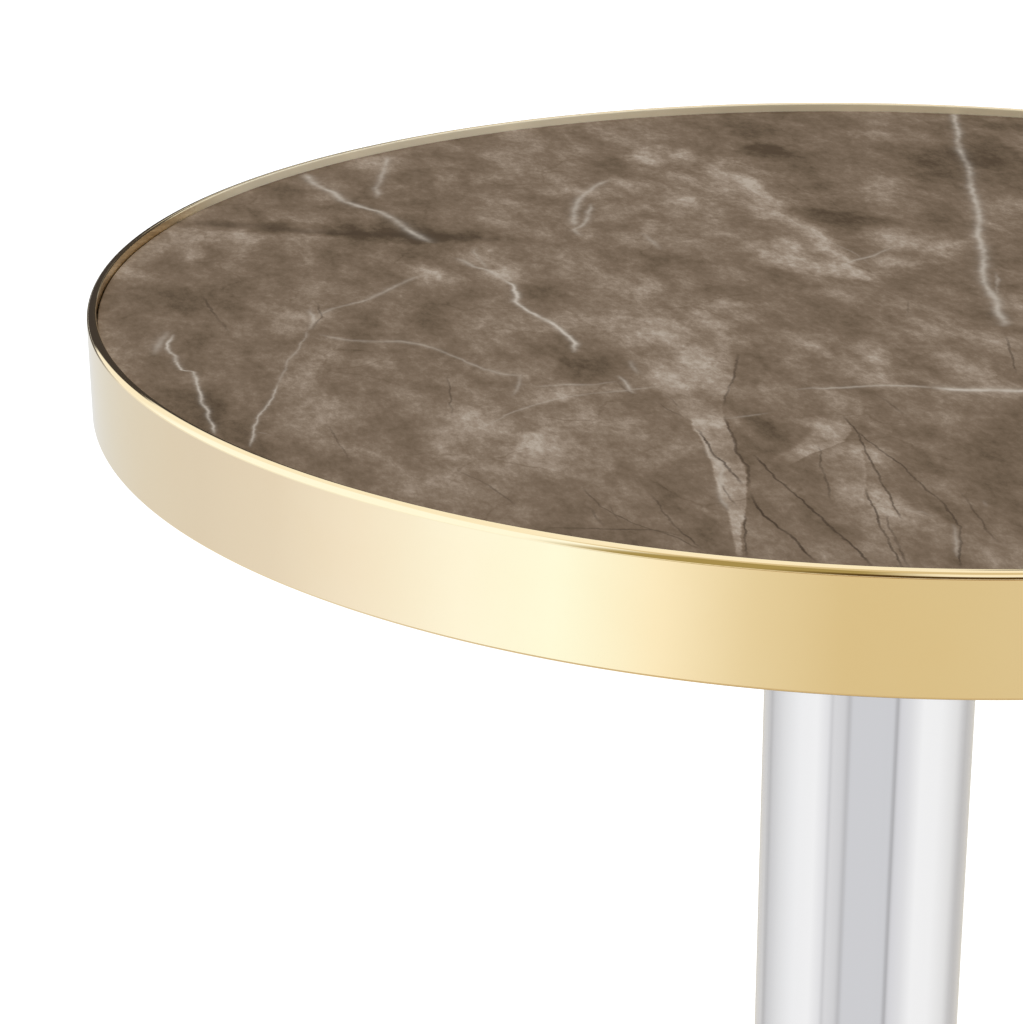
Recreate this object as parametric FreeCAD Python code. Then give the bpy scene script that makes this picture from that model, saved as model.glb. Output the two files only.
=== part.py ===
"""Round pedestal table: a stone-faced tray top with a polished metal rim, carried by a solid clear acrylic
column on a weighted round base, which stands on four screw-in levelling feet.

Lengths are millimetres and angles are degrees. The origin is on the floor, on the column's axis, with +Z up.
"""
import FreeCAD, Part
import math
import os

Vector = FreeCAD.Vector

# Overall
TABLE_HEIGHT = 500.0
TOP_DIAMETER = 500.0
COLUMN_DIAMETER = 70.0
BASE_DIAMETER = 320.0

# Tray top, from the rim's upper edge downwards
RIM_WALL = 3.0
RIM_OUTER_ROUND_SHARE = 0.72
RIM_INNER_ROUND_SHARE = 0.25
RIM_FOOT_ROUND_SHARE = 0.3
STONE_RECESS = 3.1
STONE_THICKNESS = 7.4
STONE_GAP = 0.2
STONE_EDGE_BREAK = 0.5
CORE_THICKNESS = 18.0
CORE_GAP = 0.5
LEDGE_THICKNESS = 2.0
LEDGE_WIDTH = 22.0
LEDGE_WELD_GAP = 0.1
RIM_SKIRT = 2.3
SHEET_THICKNESS = 1.5
SHEET_GAP = 0.5

# Flange that joins the column to the top
FLANGE_DIAMETER = 200.0
FLANGE_THICKNESS = 6.0
FLANGE_EDGE_BREAK = 0.8
FLANGE_SCREW_INSET = 16.0
FLANGE_SCREW_COUNT = 6
LEDGE_SCREW_COUNT = 8

# Wood screws
SCREW_DIAMETER = 4.5
SCREW_HEAD_DIAMETER = 8.8
FLANGE_SCREW_LENGTH = 20.0
LEDGE_SCREW_LENGTH = 15.0
PAN_HEAD_HEIGHT = 2.2
PAN_HEAD_ROUND_SHARE = 0.6
CROSS_WIDTH = 0.9
CROSS_LENGTH = 4.6
CROSS_DEPTH = 1.4

# Column joints, the same at both ends
BOLT_COUNT = 4
BOLT_DIAMETER = 8.0
BOLT_HEAD_DIAMETER = 16.0
BOLT_SOCKET_FLATS = 5.0
BOLT_SOCKET_DEPTH = 3.0
BOLT_ENGAGEMENT = 16.0
INSERT_DIAMETER = 12.0
INSERT_LENGTH = 20.0
INSERT_EDGE_WALL = 9.0
COLUMN_EDGE_BREAK = 0.4
COLLAR_WALL = 3.0
COLLAR_HEIGHT = 30.0
COLLAR_GAP = 0.2
COLLAR_ROUND_SHARE = 0.5

# Base, from the floor upwards
FLOOR_GAP = 4.0
FOOT_COUNT = 4
FOOT_INSET = 28.0
FOOT_PAD_DIAMETER = 28.0
FOOT_PAD_HEIGHT = 5.0
FOOT_PAD_FLOOR = 2.0
FOOT_PAD_ROUND_SHARE = 0.2
FOOT_STUD_DIAMETER = 8.0
FOOT_HEX_FLATS = 13.0
FOOT_HEX_HEIGHT = 4.0
FOOT_SEAT_GAP = 0.3
FOOT_TOP_GAP = 0.5
UNDERLAY_THICKNESS = 2.0
UNDERLAY_HOLE_GAP = 1.5
BALLAST_THICKNESS = 12.0
BALLAST_GAP = 0.5
SHELL_WALL = 2.0
SHELL_ROUND_SHARE = 0.9

# Fits shared by all fasteners, and the overrun of every cut
THREAD_CLEARANCE = 0.05
BOLT_CLEARANCE = 0.4
OVERRUN = 1.0

FULL_TURN = 360.0
HALF_TURN = 180.0
EDGE_TOLERANCE = 1e-6

# Radii
rim_radius = TOP_DIAMETER / 2
rim_inner_radius = rim_radius - RIM_WALL
stone_radius = rim_inner_radius - STONE_GAP
core_radius = rim_inner_radius - CORE_GAP
ledge_outer_radius = rim_inner_radius - LEDGE_WELD_GAP
ledge_inner_radius = ledge_outer_radius - LEDGE_WIDTH
ledge_screw_circle = (ledge_outer_radius + ledge_inner_radius) / 2
flange_radius = FLANGE_DIAMETER / 2
flange_screw_circle = flange_radius - FLANGE_SCREW_INSET
column_radius = COLUMN_DIAMETER / 2
insert_radius = INSERT_DIAMETER / 2
bolt_circle = column_radius - INSERT_EDGE_WALL - insert_radius
bolt_radius = BOLT_DIAMETER / 2
bolt_head_radius = BOLT_HEAD_DIAMETER / 2
screw_radius = SCREW_DIAMETER / 2
screw_head_radius = SCREW_HEAD_DIAMETER / 2
collar_inner_radius = column_radius + COLLAR_GAP
collar_outer_radius = collar_inner_radius + COLLAR_WALL
base_radius = BASE_DIAMETER / 2
shell_inner_radius = base_radius - SHELL_WALL
ballast_radius = shell_inner_radius - BALLAST_GAP
foot_circle = base_radius - FOOT_INSET
foot_pad_radius = FOOT_PAD_DIAMETER / 2
foot_stud_radius = FOOT_STUD_DIAMETER / 2
foot_hex_radius = FOOT_HEX_FLATS / math.sqrt(3)

# Heights of the tray top
stone_top = TABLE_HEIGHT - STONE_RECESS
stone_bottom = stone_top - STONE_THICKNESS
core_bottom = stone_bottom - CORE_THICKNESS
ledge_bottom = core_bottom - LEDGE_THICKNESS
rim_bottom = ledge_bottom - RIM_SKIRT
sheet_bottom = core_bottom - SHEET_THICKNESS
flange_bottom = core_bottom - FLANGE_THICKNESS

# Heights of the base
foot_hex_top = FOOT_PAD_HEIGHT + FOOT_HEX_HEIGHT
ballast_bottom = foot_hex_top + FOOT_SEAT_GAP
ballast_top = ballast_bottom + BALLAST_THICKNESS
base_top = ballast_top + SHELL_WALL
underlay_bottom = ballast_bottom - UNDERLAY_THICKNESS
foot_stud_top = ballast_top - FOOT_TOP_GAP

# The column fills what is left between the base and the flange.
column_bottom = base_top
column_top = flange_bottom


def disc(radius, bottom, top):
    """A round plate on the table's axis."""
    return Part.makeCylinder(radius, top - bottom, Vector(0, 0, bottom))


def ring(outer, inner, bottom, top):
    """A round plate with a round hole, on the table's axis."""
    return disc(outer, bottom, top).cut(disc(inner, bottom - OVERRUN, top + OVERRUN))


def circle_edges(shape, radius, height):
    """The edges that are level circles of that radius, at that height."""
    found = []
    for edge in shape.Edges:
        if not isinstance(edge.Curve, Part.Circle):
            continue
        same_radius = abs(edge.Curve.Radius - radius) < EDGE_TOLERANCE
        same_height = abs(edge.Curve.Center.z - height) < EDGE_TOLERANCE
        if same_radius and same_height:
            found.append(edge)
    return found


def rounded(shape, size, radius, height):
    """The shape with one level, circular edge rounded."""
    return shape.makeFillet(size, circle_edges(shape, radius, height))


def bevelled(shape, size, radius, height):
    """The shape with one level, circular edge bevelled."""
    return shape.makeChamfer(size, circle_edges(shape, radius, height))


def prism(radius, sides, bottom, top):
    """A regular prism on the table's axis, measured to its corners."""
    corners = []
    for index in range(sides):
        angle = 2 * math.pi * index / sides
        corners.append(Vector(radius * math.cos(angle), radius * math.sin(angle), bottom))
    outline = Part.makePolygon(corners + corners[:1])
    return Part.Face(outline).extrude(Vector(0, 0, top - bottom))


def around(shape, circle, count, start=0.0):
    """Copies of a shape made on the axis, spaced evenly round a circle."""
    copies = []
    for index in range(count):
        copy = shape.copy()
        copy.translate(Vector(circle, 0, 0))
        copy.rotate(Vector(0, 0, 0), Vector(0, 0, 1), start + index * FULL_TURN / count)
        copies.append(copy)
    return copies


def upside_down(shape, height):
    """A shape made head up at z 0, turned to point upwards with its head at that height."""
    turned = shape.copy()
    turned.rotate(Vector(0, 0, 0), Vector(1, 0, 0), HALF_TURN)
    turned.translate(Vector(0, 0, height))
    return turned


def raised(shape, height):
    """A copy of a shape made at z 0, lifted to that height."""
    lifted = shape.copy()
    lifted.translate(Vector(0, 0, height))
    return lifted


# Fasteners, made head up with the head's face at z 0 and the shank running down

def countersunk(head_radius, shank_radius, length):
    """A 90 degree countersunk head on a plain shank, also used to cut its own seat."""
    head_height = head_radius - shank_radius
    head = Part.makeCone(shank_radius, head_radius, head_height, Vector(0, 0, -head_height))
    return head.fuse(disc(shank_radius, -length, -head_height)).removeSplitter()


def cross_recess(top):
    """The cutter of a cross drive in a screw's head."""
    arm = Part.makeBox(CROSS_LENGTH, CROSS_WIDTH, CROSS_DEPTH + OVERRUN)
    arm.translate(Vector(-CROSS_LENGTH / 2, -CROSS_WIDTH / 2, top - CROSS_DEPTH))
    other = arm.copy()
    other.rotate(Vector(0, 0, 0), Vector(0, 0, 1), FULL_TURN / 4)
    return arm.fuse(other)


def bolt(grip):
    """A countersunk socket bolt that clamps that thickness and screws into an insert."""
    socket = prism(BOLT_SOCKET_FLATS / math.sqrt(3), 6, -BOLT_SOCKET_DEPTH, OVERRUN)
    return countersunk(bolt_head_radius, bolt_radius, grip + BOLT_ENGAGEMENT).cut(socket)


def bolt_seat(grip):
    """The cutter of a bolt's countersunk clearance hole through that thickness."""
    head_radius = bolt_head_radius + BOLT_CLEARANCE
    return countersunk(head_radius, bolt_radius + BOLT_CLEARANCE, grip + OVERRUN)


def flange_screw():
    """A countersunk wood screw that holds the flange to the core."""
    return countersunk(screw_head_radius, screw_radius, FLANGE_SCREW_LENGTH).cut(cross_recess(0))


def pan_screw():
    """A pan-head wood screw that holds the core to the ledge, with the head above z 0."""
    head = disc(screw_head_radius, 0, PAN_HEAD_HEIGHT)
    round_size = PAN_HEAD_HEIGHT * PAN_HEAD_ROUND_SHARE
    head = rounded(head, round_size, screw_head_radius, PAN_HEAD_HEIGHT)
    shank = disc(screw_radius, -LEDGE_SCREW_LENGTH, 0)
    return head.fuse(shank).removeSplitter().cut(cross_recess(PAN_HEAD_HEIGHT))


def flange_screws_placed(fastener):
    """A flange screw, or its cutter, at each place in the flange."""
    return around(upside_down(fastener, flange_bottom), flange_screw_circle, FLANGE_SCREW_COUNT)


def ledge_screws_placed(fastener):
    """A ledge screw, or its cutter, at each place in the ledge."""
    half_step = FULL_TURN / LEDGE_SCREW_COUNT / 2
    return around(upside_down(fastener, ledge_bottom), ledge_screw_circle, LEDGE_SCREW_COUNT, half_step)


# Tray top

def make_top_rim():
    """The polished hoop round the top, with a soft upper lip."""
    hoop = ring(rim_radius, rim_inner_radius, rim_bottom, TABLE_HEIGHT)
    hoop = rounded(hoop, RIM_WALL * RIM_OUTER_ROUND_SHARE, rim_radius, TABLE_HEIGHT)
    hoop = rounded(hoop, RIM_WALL * RIM_INNER_ROUND_SHARE, rim_inner_radius, TABLE_HEIGHT)
    return rounded(hoop, RIM_WALL * RIM_FOOT_ROUND_SHARE, rim_radius, rim_bottom)


def make_stone_top():
    """The stone slab that lies inside the rim, a little below its lip."""
    slab = disc(stone_radius, stone_bottom, stone_top)
    return bevelled(slab, STONE_EDGE_BREAK, stone_radius, stone_top)


def make_core_panel():
    """The board under the stone, with pilot holes for the wood screws."""
    pilot_radius = screw_radius + THREAD_CLEARANCE
    flange_pilot = disc(pilot_radius, -FLANGE_SCREW_LENGTH, 0)
    ledge_pilot = disc(pilot_radius, -LEDGE_SCREW_LENGTH, 0)
    board = disc(core_radius, core_bottom, stone_bottom)
    return board.cut(flange_screws_placed(flange_pilot) + ledge_screws_placed(ledge_pilot))


def make_rim_ledge():
    """The flat ring welded inside the rim, on which the board lies."""
    hole = disc(screw_radius + BOLT_CLEARANCE, -LEDGE_THICKNESS - OVERRUN, OVERRUN)
    plate = ring(ledge_outer_radius, ledge_inner_radius, ledge_bottom, core_bottom)
    return plate.cut(ledge_screws_placed(hole))


def make_ledge_screws():
    """The wood screws that hold the board down on the ledge."""
    return Part.makeCompound(ledge_screws_placed(pan_screw()))


def make_underside_sheet():
    """The laminate that covers the board between the ledge and the flange."""
    outer = ledge_inner_radius - SHEET_GAP
    return ring(outer, flange_radius + SHEET_GAP, sheet_bottom, core_bottom)


# Column and its joints

def make_top_flange():
    """The plate bolted on the column's upper end and screwed under the board."""
    plate = disc(flange_radius, flange_bottom, core_bottom)
    plate = bevelled(plate, FLANGE_EDGE_BREAK, flange_radius, flange_bottom)
    bolt_seats = around(raised(bolt_seat(FLANGE_THICKNESS), core_bottom), bolt_circle, BOLT_COUNT)
    head_radius = screw_head_radius + BOLT_CLEARANCE
    screw_seat = countersunk(head_radius, screw_radius + BOLT_CLEARANCE, FLANGE_THICKNESS + OVERRUN)
    return plate.cut(bolt_seats + flange_screws_placed(screw_seat))


def make_flange_screws():
    """The wood screws that hold the flange under the board."""
    return Part.makeCompound(flange_screws_placed(flange_screw()))


def make_upper_column_bolts():
    """The bolts that run down through the flange into the column."""
    one = raised(bolt(FLANGE_THICKNESS), core_bottom)
    return Part.makeCompound(around(one, bolt_circle, BOLT_COUNT))


def make_lower_column_bolts():
    """The bolts that run up through the ballast and the shell into the column."""
    one = upside_down(bolt(BALLAST_THICKNESS + SHELL_WALL), ballast_bottom)
    return Part.makeCompound(around(one, bolt_circle, BOLT_COUNT))


def make_column_inserts(bottom):
    """Threaded bushes set into one end of the column."""
    bush = ring(insert_radius, bolt_radius + THREAD_CLEARANCE, bottom, bottom + INSERT_LENGTH)
    return Part.makeCompound(around(bush, bolt_circle, BOLT_COUNT))


def make_column():
    """The solid acrylic rod, with blind holes for the bushes in both ends."""
    rod = disc(column_radius, column_bottom, column_top)
    rod = bevelled(rod, COLUMN_EDGE_BREAK, column_radius, column_top)
    rod = bevelled(rod, COLUMN_EDGE_BREAK, column_radius, column_bottom)
    hole_radius = insert_radius + THREAD_CLEARANCE
    upper = disc(hole_radius, column_top - INSERT_LENGTH, column_top + OVERRUN)
    lower = disc(hole_radius, column_bottom - OVERRUN, column_bottom + INSERT_LENGTH)
    holes = around(upper, bolt_circle, BOLT_COUNT) + around(lower, bolt_circle, BOLT_COUNT)
    return rod.cut(holes)


def make_collar(bottom, soft_edge):
    """The polished ring that hides the bushes at one end of the column."""
    band = ring(collar_outer_radius, collar_inner_radius, bottom, bottom + COLLAR_HEIGHT)
    return rounded(band, COLLAR_WALL * COLLAR_ROUND_SHARE, collar_outer_radius, soft_edge)


def make_upper_collar():
    """The ring under the flange, soft at its lower edge."""
    bottom = flange_bottom - COLLAR_HEIGHT
    return make_collar(bottom, bottom)


def make_lower_collar():
    """The ring on the base, soft at its upper edge."""
    return make_collar(base_top, base_top + COLLAR_HEIGHT)


# Weighted base

def make_base_shell():
    """The polished cap over the ballast, open below."""
    cap = disc(base_radius, FLOOR_GAP, base_top)
    cap = rounded(cap, SHELL_WALL * SHELL_ROUND_SHARE, base_radius, base_top)
    hollow = disc(shell_inner_radius, FLOOR_GAP - OVERRUN, ballast_top)
    hole = disc(bolt_radius + BOLT_CLEARANCE, ballast_top - OVERRUN, base_top + OVERRUN)
    return cap.cut([hollow] + around(hole, bolt_circle, BOLT_COUNT))


def feet_placed(shape):
    """A foot's piece, or its cutter, at each place in the base."""
    return around(shape, foot_circle, FOOT_COUNT, FULL_TURN / FOOT_COUNT / 2)


def make_base_ballast():
    """The steel plate that weighs the base down and takes the bolts and the feet."""
    plate = disc(ballast_radius, ballast_bottom, ballast_top)
    seat = upside_down(bolt_seat(BALLAST_THICKNESS), ballast_bottom)
    tapped = disc(foot_stud_radius + THREAD_CLEARANCE, ballast_bottom - OVERRUN, ballast_top + OVERRUN)
    return plate.cut(around(seat, bolt_circle, BOLT_COUNT) + feet_placed(tapped))


def make_base_underlay():
    """The soft sheet that covers the ballast and the bolt heads from below."""
    sheet = disc(ballast_radius, underlay_bottom, ballast_bottom)
    hole = disc(foot_hex_radius + UNDERLAY_HOLE_GAP, underlay_bottom - OVERRUN, ballast_bottom + OVERRUN)
    return sheet.cut(feet_placed(hole))


def make_foot_studs():
    """The threaded studs of the feet, each with a hexagon to turn it by."""
    stud = disc(foot_stud_radius, FOOT_PAD_FLOOR, foot_stud_top)
    hexagon = prism(foot_hex_radius, 6, FOOT_PAD_HEIGHT, foot_hex_top)
    return feet_placed(stud.fuse(hexagon).removeSplitter())


def make_foot_pads():
    """The nylon pads that the studs stand in."""
    pad = disc(foot_pad_radius, 0, FOOT_PAD_HEIGHT)
    pad = rounded(pad, FOOT_PAD_HEIGHT * FOOT_PAD_ROUND_SHARE, foot_pad_radius, FOOT_PAD_HEIGHT)
    socket = disc(foot_stud_radius + THREAD_CLEARANCE, FOOT_PAD_FLOOR, FOOT_PAD_HEIGHT + OVERRUN)
    return feet_placed(pad.cut(socket))


def table_pieces():
    """Every piece of the table by its name."""
    pieces = {
        "top_rim": make_top_rim(),
        "stone_top": make_stone_top(),
        "core_panel": make_core_panel(),
        "rim_ledge": make_rim_ledge(),
        "ledge_screws": make_ledge_screws(),
        "underside_sheet": make_underside_sheet(),
        "top_flange": make_top_flange(),
        "flange_screws": make_flange_screws(),
        "upper_column_bolts": make_upper_column_bolts(),
        "upper_column_inserts": make_column_inserts(column_top - INSERT_LENGTH),
        "upper_collar": make_upper_collar(),
        "column": make_column(),
        "lower_collar": make_lower_collar(),
        "lower_column_inserts": make_column_inserts(column_bottom),
        "lower_column_bolts": make_lower_column_bolts(),
        "base_shell": make_base_shell(),
        "base_ballast": make_base_ballast(),
        "base_underlay": make_base_underlay(),
    }
    for number, stud in enumerate(make_foot_studs(), start=1):
        pieces[f"foot_stud_{number}"] = stud
    for number, pad in enumerate(make_foot_pads(), start=1):
        pieces[f"foot_pad_{number}"] = pad
    return pieces


def main():
    """Writes one STEP file for each piece."""
    os.makedirs("parts", exist_ok=True)
    for name, shape in table_pieces().items():
        shape.exportStep(f"parts/{name}.step")
        print(f"{name}: {len(shape.Solids)} solid(s), {shape.Volume:.1f} cubic mm, valid {shape.isValid()}")


main()
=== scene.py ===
"""Looks of a round pedestal table: a veined stone slab in a polished gold rim, on a clear acrylic column and a
weighted base with levelling feet.

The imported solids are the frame. Lengths are metres, unless a name ends in mm. The origin is on the floor under
the column's axis, +Z is up, and +Y points away from the camera.
"""
import logging
import math
from abc import ABC, abstractmethod
from dataclasses import dataclass
from enum import Enum
from functools import reduce
from typing import Callable, Iterable, NamedTuple, Sequence

import bpy
from mathutils import Matrix, Vector


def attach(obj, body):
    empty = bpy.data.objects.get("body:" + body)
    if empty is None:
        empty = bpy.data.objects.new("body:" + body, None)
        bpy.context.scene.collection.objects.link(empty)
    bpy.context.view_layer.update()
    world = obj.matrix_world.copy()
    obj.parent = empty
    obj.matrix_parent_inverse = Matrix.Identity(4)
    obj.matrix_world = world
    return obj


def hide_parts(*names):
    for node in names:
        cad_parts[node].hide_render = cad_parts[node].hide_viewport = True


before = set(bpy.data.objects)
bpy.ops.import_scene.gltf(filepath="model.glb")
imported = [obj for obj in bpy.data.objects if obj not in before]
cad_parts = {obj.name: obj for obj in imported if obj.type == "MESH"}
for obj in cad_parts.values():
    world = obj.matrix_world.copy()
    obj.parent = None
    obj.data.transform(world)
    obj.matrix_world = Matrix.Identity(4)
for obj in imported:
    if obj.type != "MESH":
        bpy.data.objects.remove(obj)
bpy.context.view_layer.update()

LOG = logging.getLogger("table")
MM = 0.001

Pair = tuple[float, float]
Triple = tuple[float, float, float]
Point = Pair
Colour = Triple
Tint = tuple[float, Colour]

RIGHT_ANGLE = 90.0
FULL_TURN = 360.0
WHITE: Colour = (1.0, 1.0, 1.0)

# Shaders: the sockets of a Mix node that take and give colours, and the middles of a noise and a ramp
MIX_FIRST, MIX_SECOND, MIX_RESULT = 6, 7, 2
NOISE_MIDDLE = 0.5
RAMP_MIDDLE = 0.5

# Modelling: how exactly places and level faces are found, and how fine the helpers are
PLACE_TOLERANCE = 1e-5
MERGE_DISTANCE = 1e-6
LEVEL_NORMAL = 0.99
QUAD = 4
SMOOTH_ANGLE = math.radians(30.0)
LARGE_FACES_FIRST = 100
ROUND_PROFILE = 0.5
DRILL_SIDES = 48
PAINTED_RING_SIDES = 128

# Drawing on stone: the fade at a line's ends, a vein's glow and the edges of cracks, clouds and splinters
LINE_END_MM = 6.0
VEIN_GLOW = 1.25
CRACK_EDGE = (0.3, 1.5)
CLOUD_END = 1.5
SLIVER_EDGE_MM = 0.4
SHAPES_PER_GROUP = 6


class Body(Enum):
    """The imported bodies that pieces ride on."""

    TABLE = "table"
    FOOT_1 = "foot_1"
    FOOT_2 = "foot_2"
    FOOT_3 = "foot_3"
    FOOT_4 = "foot_4"


class Slot(Enum):
    """The record's material slots."""

    GOLD = "gold_metal"
    STONE = "brown_stone"
    ACRYLIC = "clear_acrylic"
    BOARD = "core_board"
    LAMINATE = "black_laminate"
    BLACK_STEEL = "black_steel"
    ZINC = "zinc_steel"
    BRASS = "insert_brass"
    BALLAST = "ballast_steel"
    FELT = "underlay_felt"
    NYLON = "foot_nylon"


# Shader building


def math_node(operation: str, swapped: bool = False, clamp: bool = False) -> Callable[..., "Wire"]:
    """Makes an operator that adds a Math node.

    Args:
        operation: the Math node's operation.
        swapped: whether the wire is the node's last input instead of its first.
        clamp: whether the result is kept between 0 and 1.

    Returns:
        The operator.
    """
    settings = {"operation": operation, "use_clamp": clamp}

    def operate(wire: "Wire", *others: "Wire | float") -> "Wire":
        """Adds the node to the wire's shader."""
        values = [*others, wire] if swapped else [wire, *others]
        return wire.shader.node("ShaderNodeMath", settings, dict(enumerate(values)))

    return operate


class Wire:
    """A number, colour or vector in a shader. Arithmetic on a number adds Math nodes."""

    __add__ = __radd__ = math_node("ADD")
    __sub__ = math_node("SUBTRACT")
    __rsub__ = math_node("SUBTRACT", swapped=True)
    __mul__ = __rmul__ = math_node("MULTIPLY")
    __truediv__ = math_node("DIVIDE")
    __abs__ = math_node("ABSOLUTE")
    scaled = math_node("MULTIPLY_ADD")
    limited = math_node("MULTIPLY", clamp=True)
    larger = math_node("MAXIMUM")
    above = math_node("GREATER_THAN")
    below = math_node("LESS_THAN")
    root = math_node("SQRT")
    fraction = math_node("FRACT")
    bearing = math_node("ARCTAN2")

    def __init__(self, shader: "Shader", socket: bpy.types.NodeSocket) -> None:
        """Wraps one output socket of a shader."""
        self.shader = shader
        self.socket = socket

    def smooth(self, low: float, high: float, at_low: float = 0.0, at_high: float = 1.0) -> "Wire":
        """Eases from one level to another as the value rises.

        Args:
            low: where the rise starts.
            high: where the rise ends.
            at_low: the level up to low.
            at_high: the level from high.

        Returns:
            The eased level.
        """
        settings = {"interpolation_type": "SMOOTHSTEP"}
        sockets = {"Value": self, "From Min": low, "From Max": high, "To Min": at_low, "To Max": at_high}
        return self.shader.node("ShaderNodeMapRange", settings, sockets)


class Noise(NamedTuple):
    """Fractal noise: the size of its largest patches, its number of finer layers and their strength."""

    size: float
    layers: float
    roughness: float


class Shader:
    """A node tree under construction, for a finish, a ring of painted light or the world."""

    def __init__(self, tree: bpy.types.NodeTree) -> None:
        """Empties the tree that is to be filled."""
        self.tree = tree
        tree.nodes.clear()

    def node(self, kind: str, settings: dict | None = None, sockets: dict | None = None,
             output: int | str = 0) -> Wire:
        """Adds any node.

        Args:
            kind: the node's type.
            settings: the node's own properties, set first; stops fill a ramp and points fill a curve.
            sockets: values or wires by the input's name or number.
            output: the output that is wanted.

        Returns:
            The wanted output.
        """
        node = self.tree.nodes.new(kind)
        for key, value in (settings or {}).items():
            if key == "stops":
                self.fill_ramp(node, value)
            elif key == "points":
                self.fill_curve(node, value)
            else:
                setattr(node, key, value)
        for key, value in (sockets or {}).items():
            if isinstance(value, Wire):
                self.tree.links.new(value.socket, node.inputs[key])
            else:
                node.inputs[key].default_value = value
        return Wire(self, node.outputs[output] if node.outputs else None)

    @staticmethod
    def fill_ramp(node: bpy.types.Node, stops: Sequence[Tint]) -> None:
        """Sets the stops of a colour ramp.

        Args:
            node: the ramp.
            stops: places from 0 to 1, each with its colour.
        """
        elements = node.color_ramp.elements
        while len(elements) < len(stops):
            elements.new(1.0)
        for element, (place, colour) in zip(elements, stops):
            element.position = place
            element.color = (*colour, 1.0)

    @staticmethod
    def fill_curve(node: bpy.types.Node, points: Sequence[Point]) -> None:
        """Sets the points of a float curve, joined by straight lines.

        Args:
            node: the float curve.
            points: places and levels, both from 0 to 1.
        """
        curve = node.mapping.curves[0]
        while len(curve.points) < len(points):
            curve.points.new(0.5, 0.5)
        for point, (place, level) in zip(curve.points, points):
            point.location = (place, level)
            point.handle_type = "VECTOR"
        node.mapping.update()

    def part(self, name: str, inputs: dict[str, Wire], fill: Callable[[dict[str, Wire]], Wire]) -> Wire:
        """Adds a node group, which keeps a large tree quick to build.

        Args:
            name: the group's name.
            inputs: the numbers that it is given, by name.
            fill: builds the group's inside from those numbers and returns its result.

        Returns:
            The group's result.
        """
        group = bpy.data.node_groups.new(name, "ShaderNodeTree")
        for key in inputs:
            group.interface.new_socket(key, in_out="INPUT", socket_type="NodeSocketFloat")
        group.interface.new_socket("Result", in_out="OUTPUT", socket_type="NodeSocketFloat")
        inside = Shader(group)
        result = fill({key: inside.node("NodeGroupInput", output=key) for key in inputs})
        inside.node("NodeGroupOutput", None, {"Result": result})
        return self.node("ShaderNodeGroup", {"node_tree": group}, inputs)

    def place(self) -> Wire:
        """The place on the piece, in metres in the table's frame."""
        return self.node("ShaderNodeTexCoord", output="Object")

    def axis(self, vector: Wire, name: str) -> Wire:
        """One component of a vector, by its letter."""
        return self.node("ShaderNodeSeparateXYZ", None, {0: vector}, name)

    def from_axis(self, place: Wire) -> Wire:
        """How far a place is from the table's axis."""
        x, y = (self.axis(place, letter) for letter in "XY")
        return (x * x + y * y).root()

    def vector(self, operation: str, *values: Wire | Triple) -> Wire:
        """Adds a Vector Math node."""
        return self.node("ShaderNodeVectorMath", {"operation": operation}, dict(enumerate(values)))

    def noise(self, place: Wire, noise: Noise, flat: bool = False, output: str = "Fac") -> Wire:
        """Fractal noise.

        Args:
            place: where it is read.
            noise: what it is like.
            flat: whether it is the same at every height.
            output: Fac for a number, Color for a vector.

        Returns:
            The noise.
        """
        sockets = {"Vector": place, "Scale": 1.0 / noise.size, "Detail": noise.layers, "Roughness": noise.roughness}
        return self.node("ShaderNodeTexNoise", {"noise_dimensions": "2D" if flat else "3D"}, sockets, output)

    def stretched(self, place: Wire, scale: Triple) -> Wire:
        """A place scaled along the axes."""
        return self.node("ShaderNodeMapping", {"vector_type": "POINT"}, {"Vector": place, "Scale": scale})

    def drawn_out(self, place: Wire, along: float, turn: float) -> Wire:
        """A place on which patterns come out longer along one direction, in degrees from +Y towards -X."""
        sockets = {"Vector": place, "Rotation": (0.0, 0.0, math.radians(turn)), "Scale": (1.0, along, 1.0)}
        return self.node("ShaderNodeMapping", {"vector_type": "TEXTURE"}, sockets)

    def ramp(self, level: Wire, stops: Sequence[Tint]) -> Wire:
        """A colour that follows a level."""
        return self.node("ShaderNodeValToRGB", {"stops": stops}, {"Fac": level}, "Color")

    def mixed(self, amount: Wire, *colours: Wire | Colour) -> Wire:
        """Mixes two colours.

        Args:
            amount: how much of the second colour is used, from 0 to 1.
            colours: the two colours.

        Returns:
            The mixed colour.
        """
        first, second = (colour if isinstance(colour, Wire) else (*colour, 1.0) for colour in colours)
        sockets = {0: amount, MIX_FIRST: first, MIX_SECOND: second}
        return self.node("ShaderNodeMix", {"data_type": "RGBA"}, sockets, MIX_RESULT)

    def bump(self, height: Wire, depth: float) -> Wire:
        """Turns a height into a normal; height 1 is as high as the depth in metres."""
        return self.node("ShaderNodeBump", None, {"Height": height, "Distance": depth, "Strength": 1.0})

    def surface(self, **sockets: "Wire | float | tuple") -> None:
        """Ends the tree with a Principled shader; underscores in names stand for spaces."""
        named = {key.replace("_", " "): value for key, value in sockets.items()}
        self.end(self.node("ShaderNodeBsdfPrincipled", None, named))

    def glow(self, colour: Wire | tuple, strength: float = 1.0) -> Wire:
        """A surface that gives light."""
        return self.node("ShaderNodeEmission", None, {"Color": colour, "Strength": strength})

    def end(self, surface: Wire) -> None:
        """Ends the tree with a surface."""
        self.node("ShaderNodeOutputMaterial", None, {"Surface": surface})


def new_material(name: str) -> tuple[bpy.types.Material, Shader]:
    """Makes an empty material.

    Args:
        name: its name.

    Returns:
        The material and the shader that fills it.
    """
    material = bpy.data.materials.new(name)
    material.use_nodes = True
    return material, Shader(material.node_tree)


# Finishes


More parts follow.
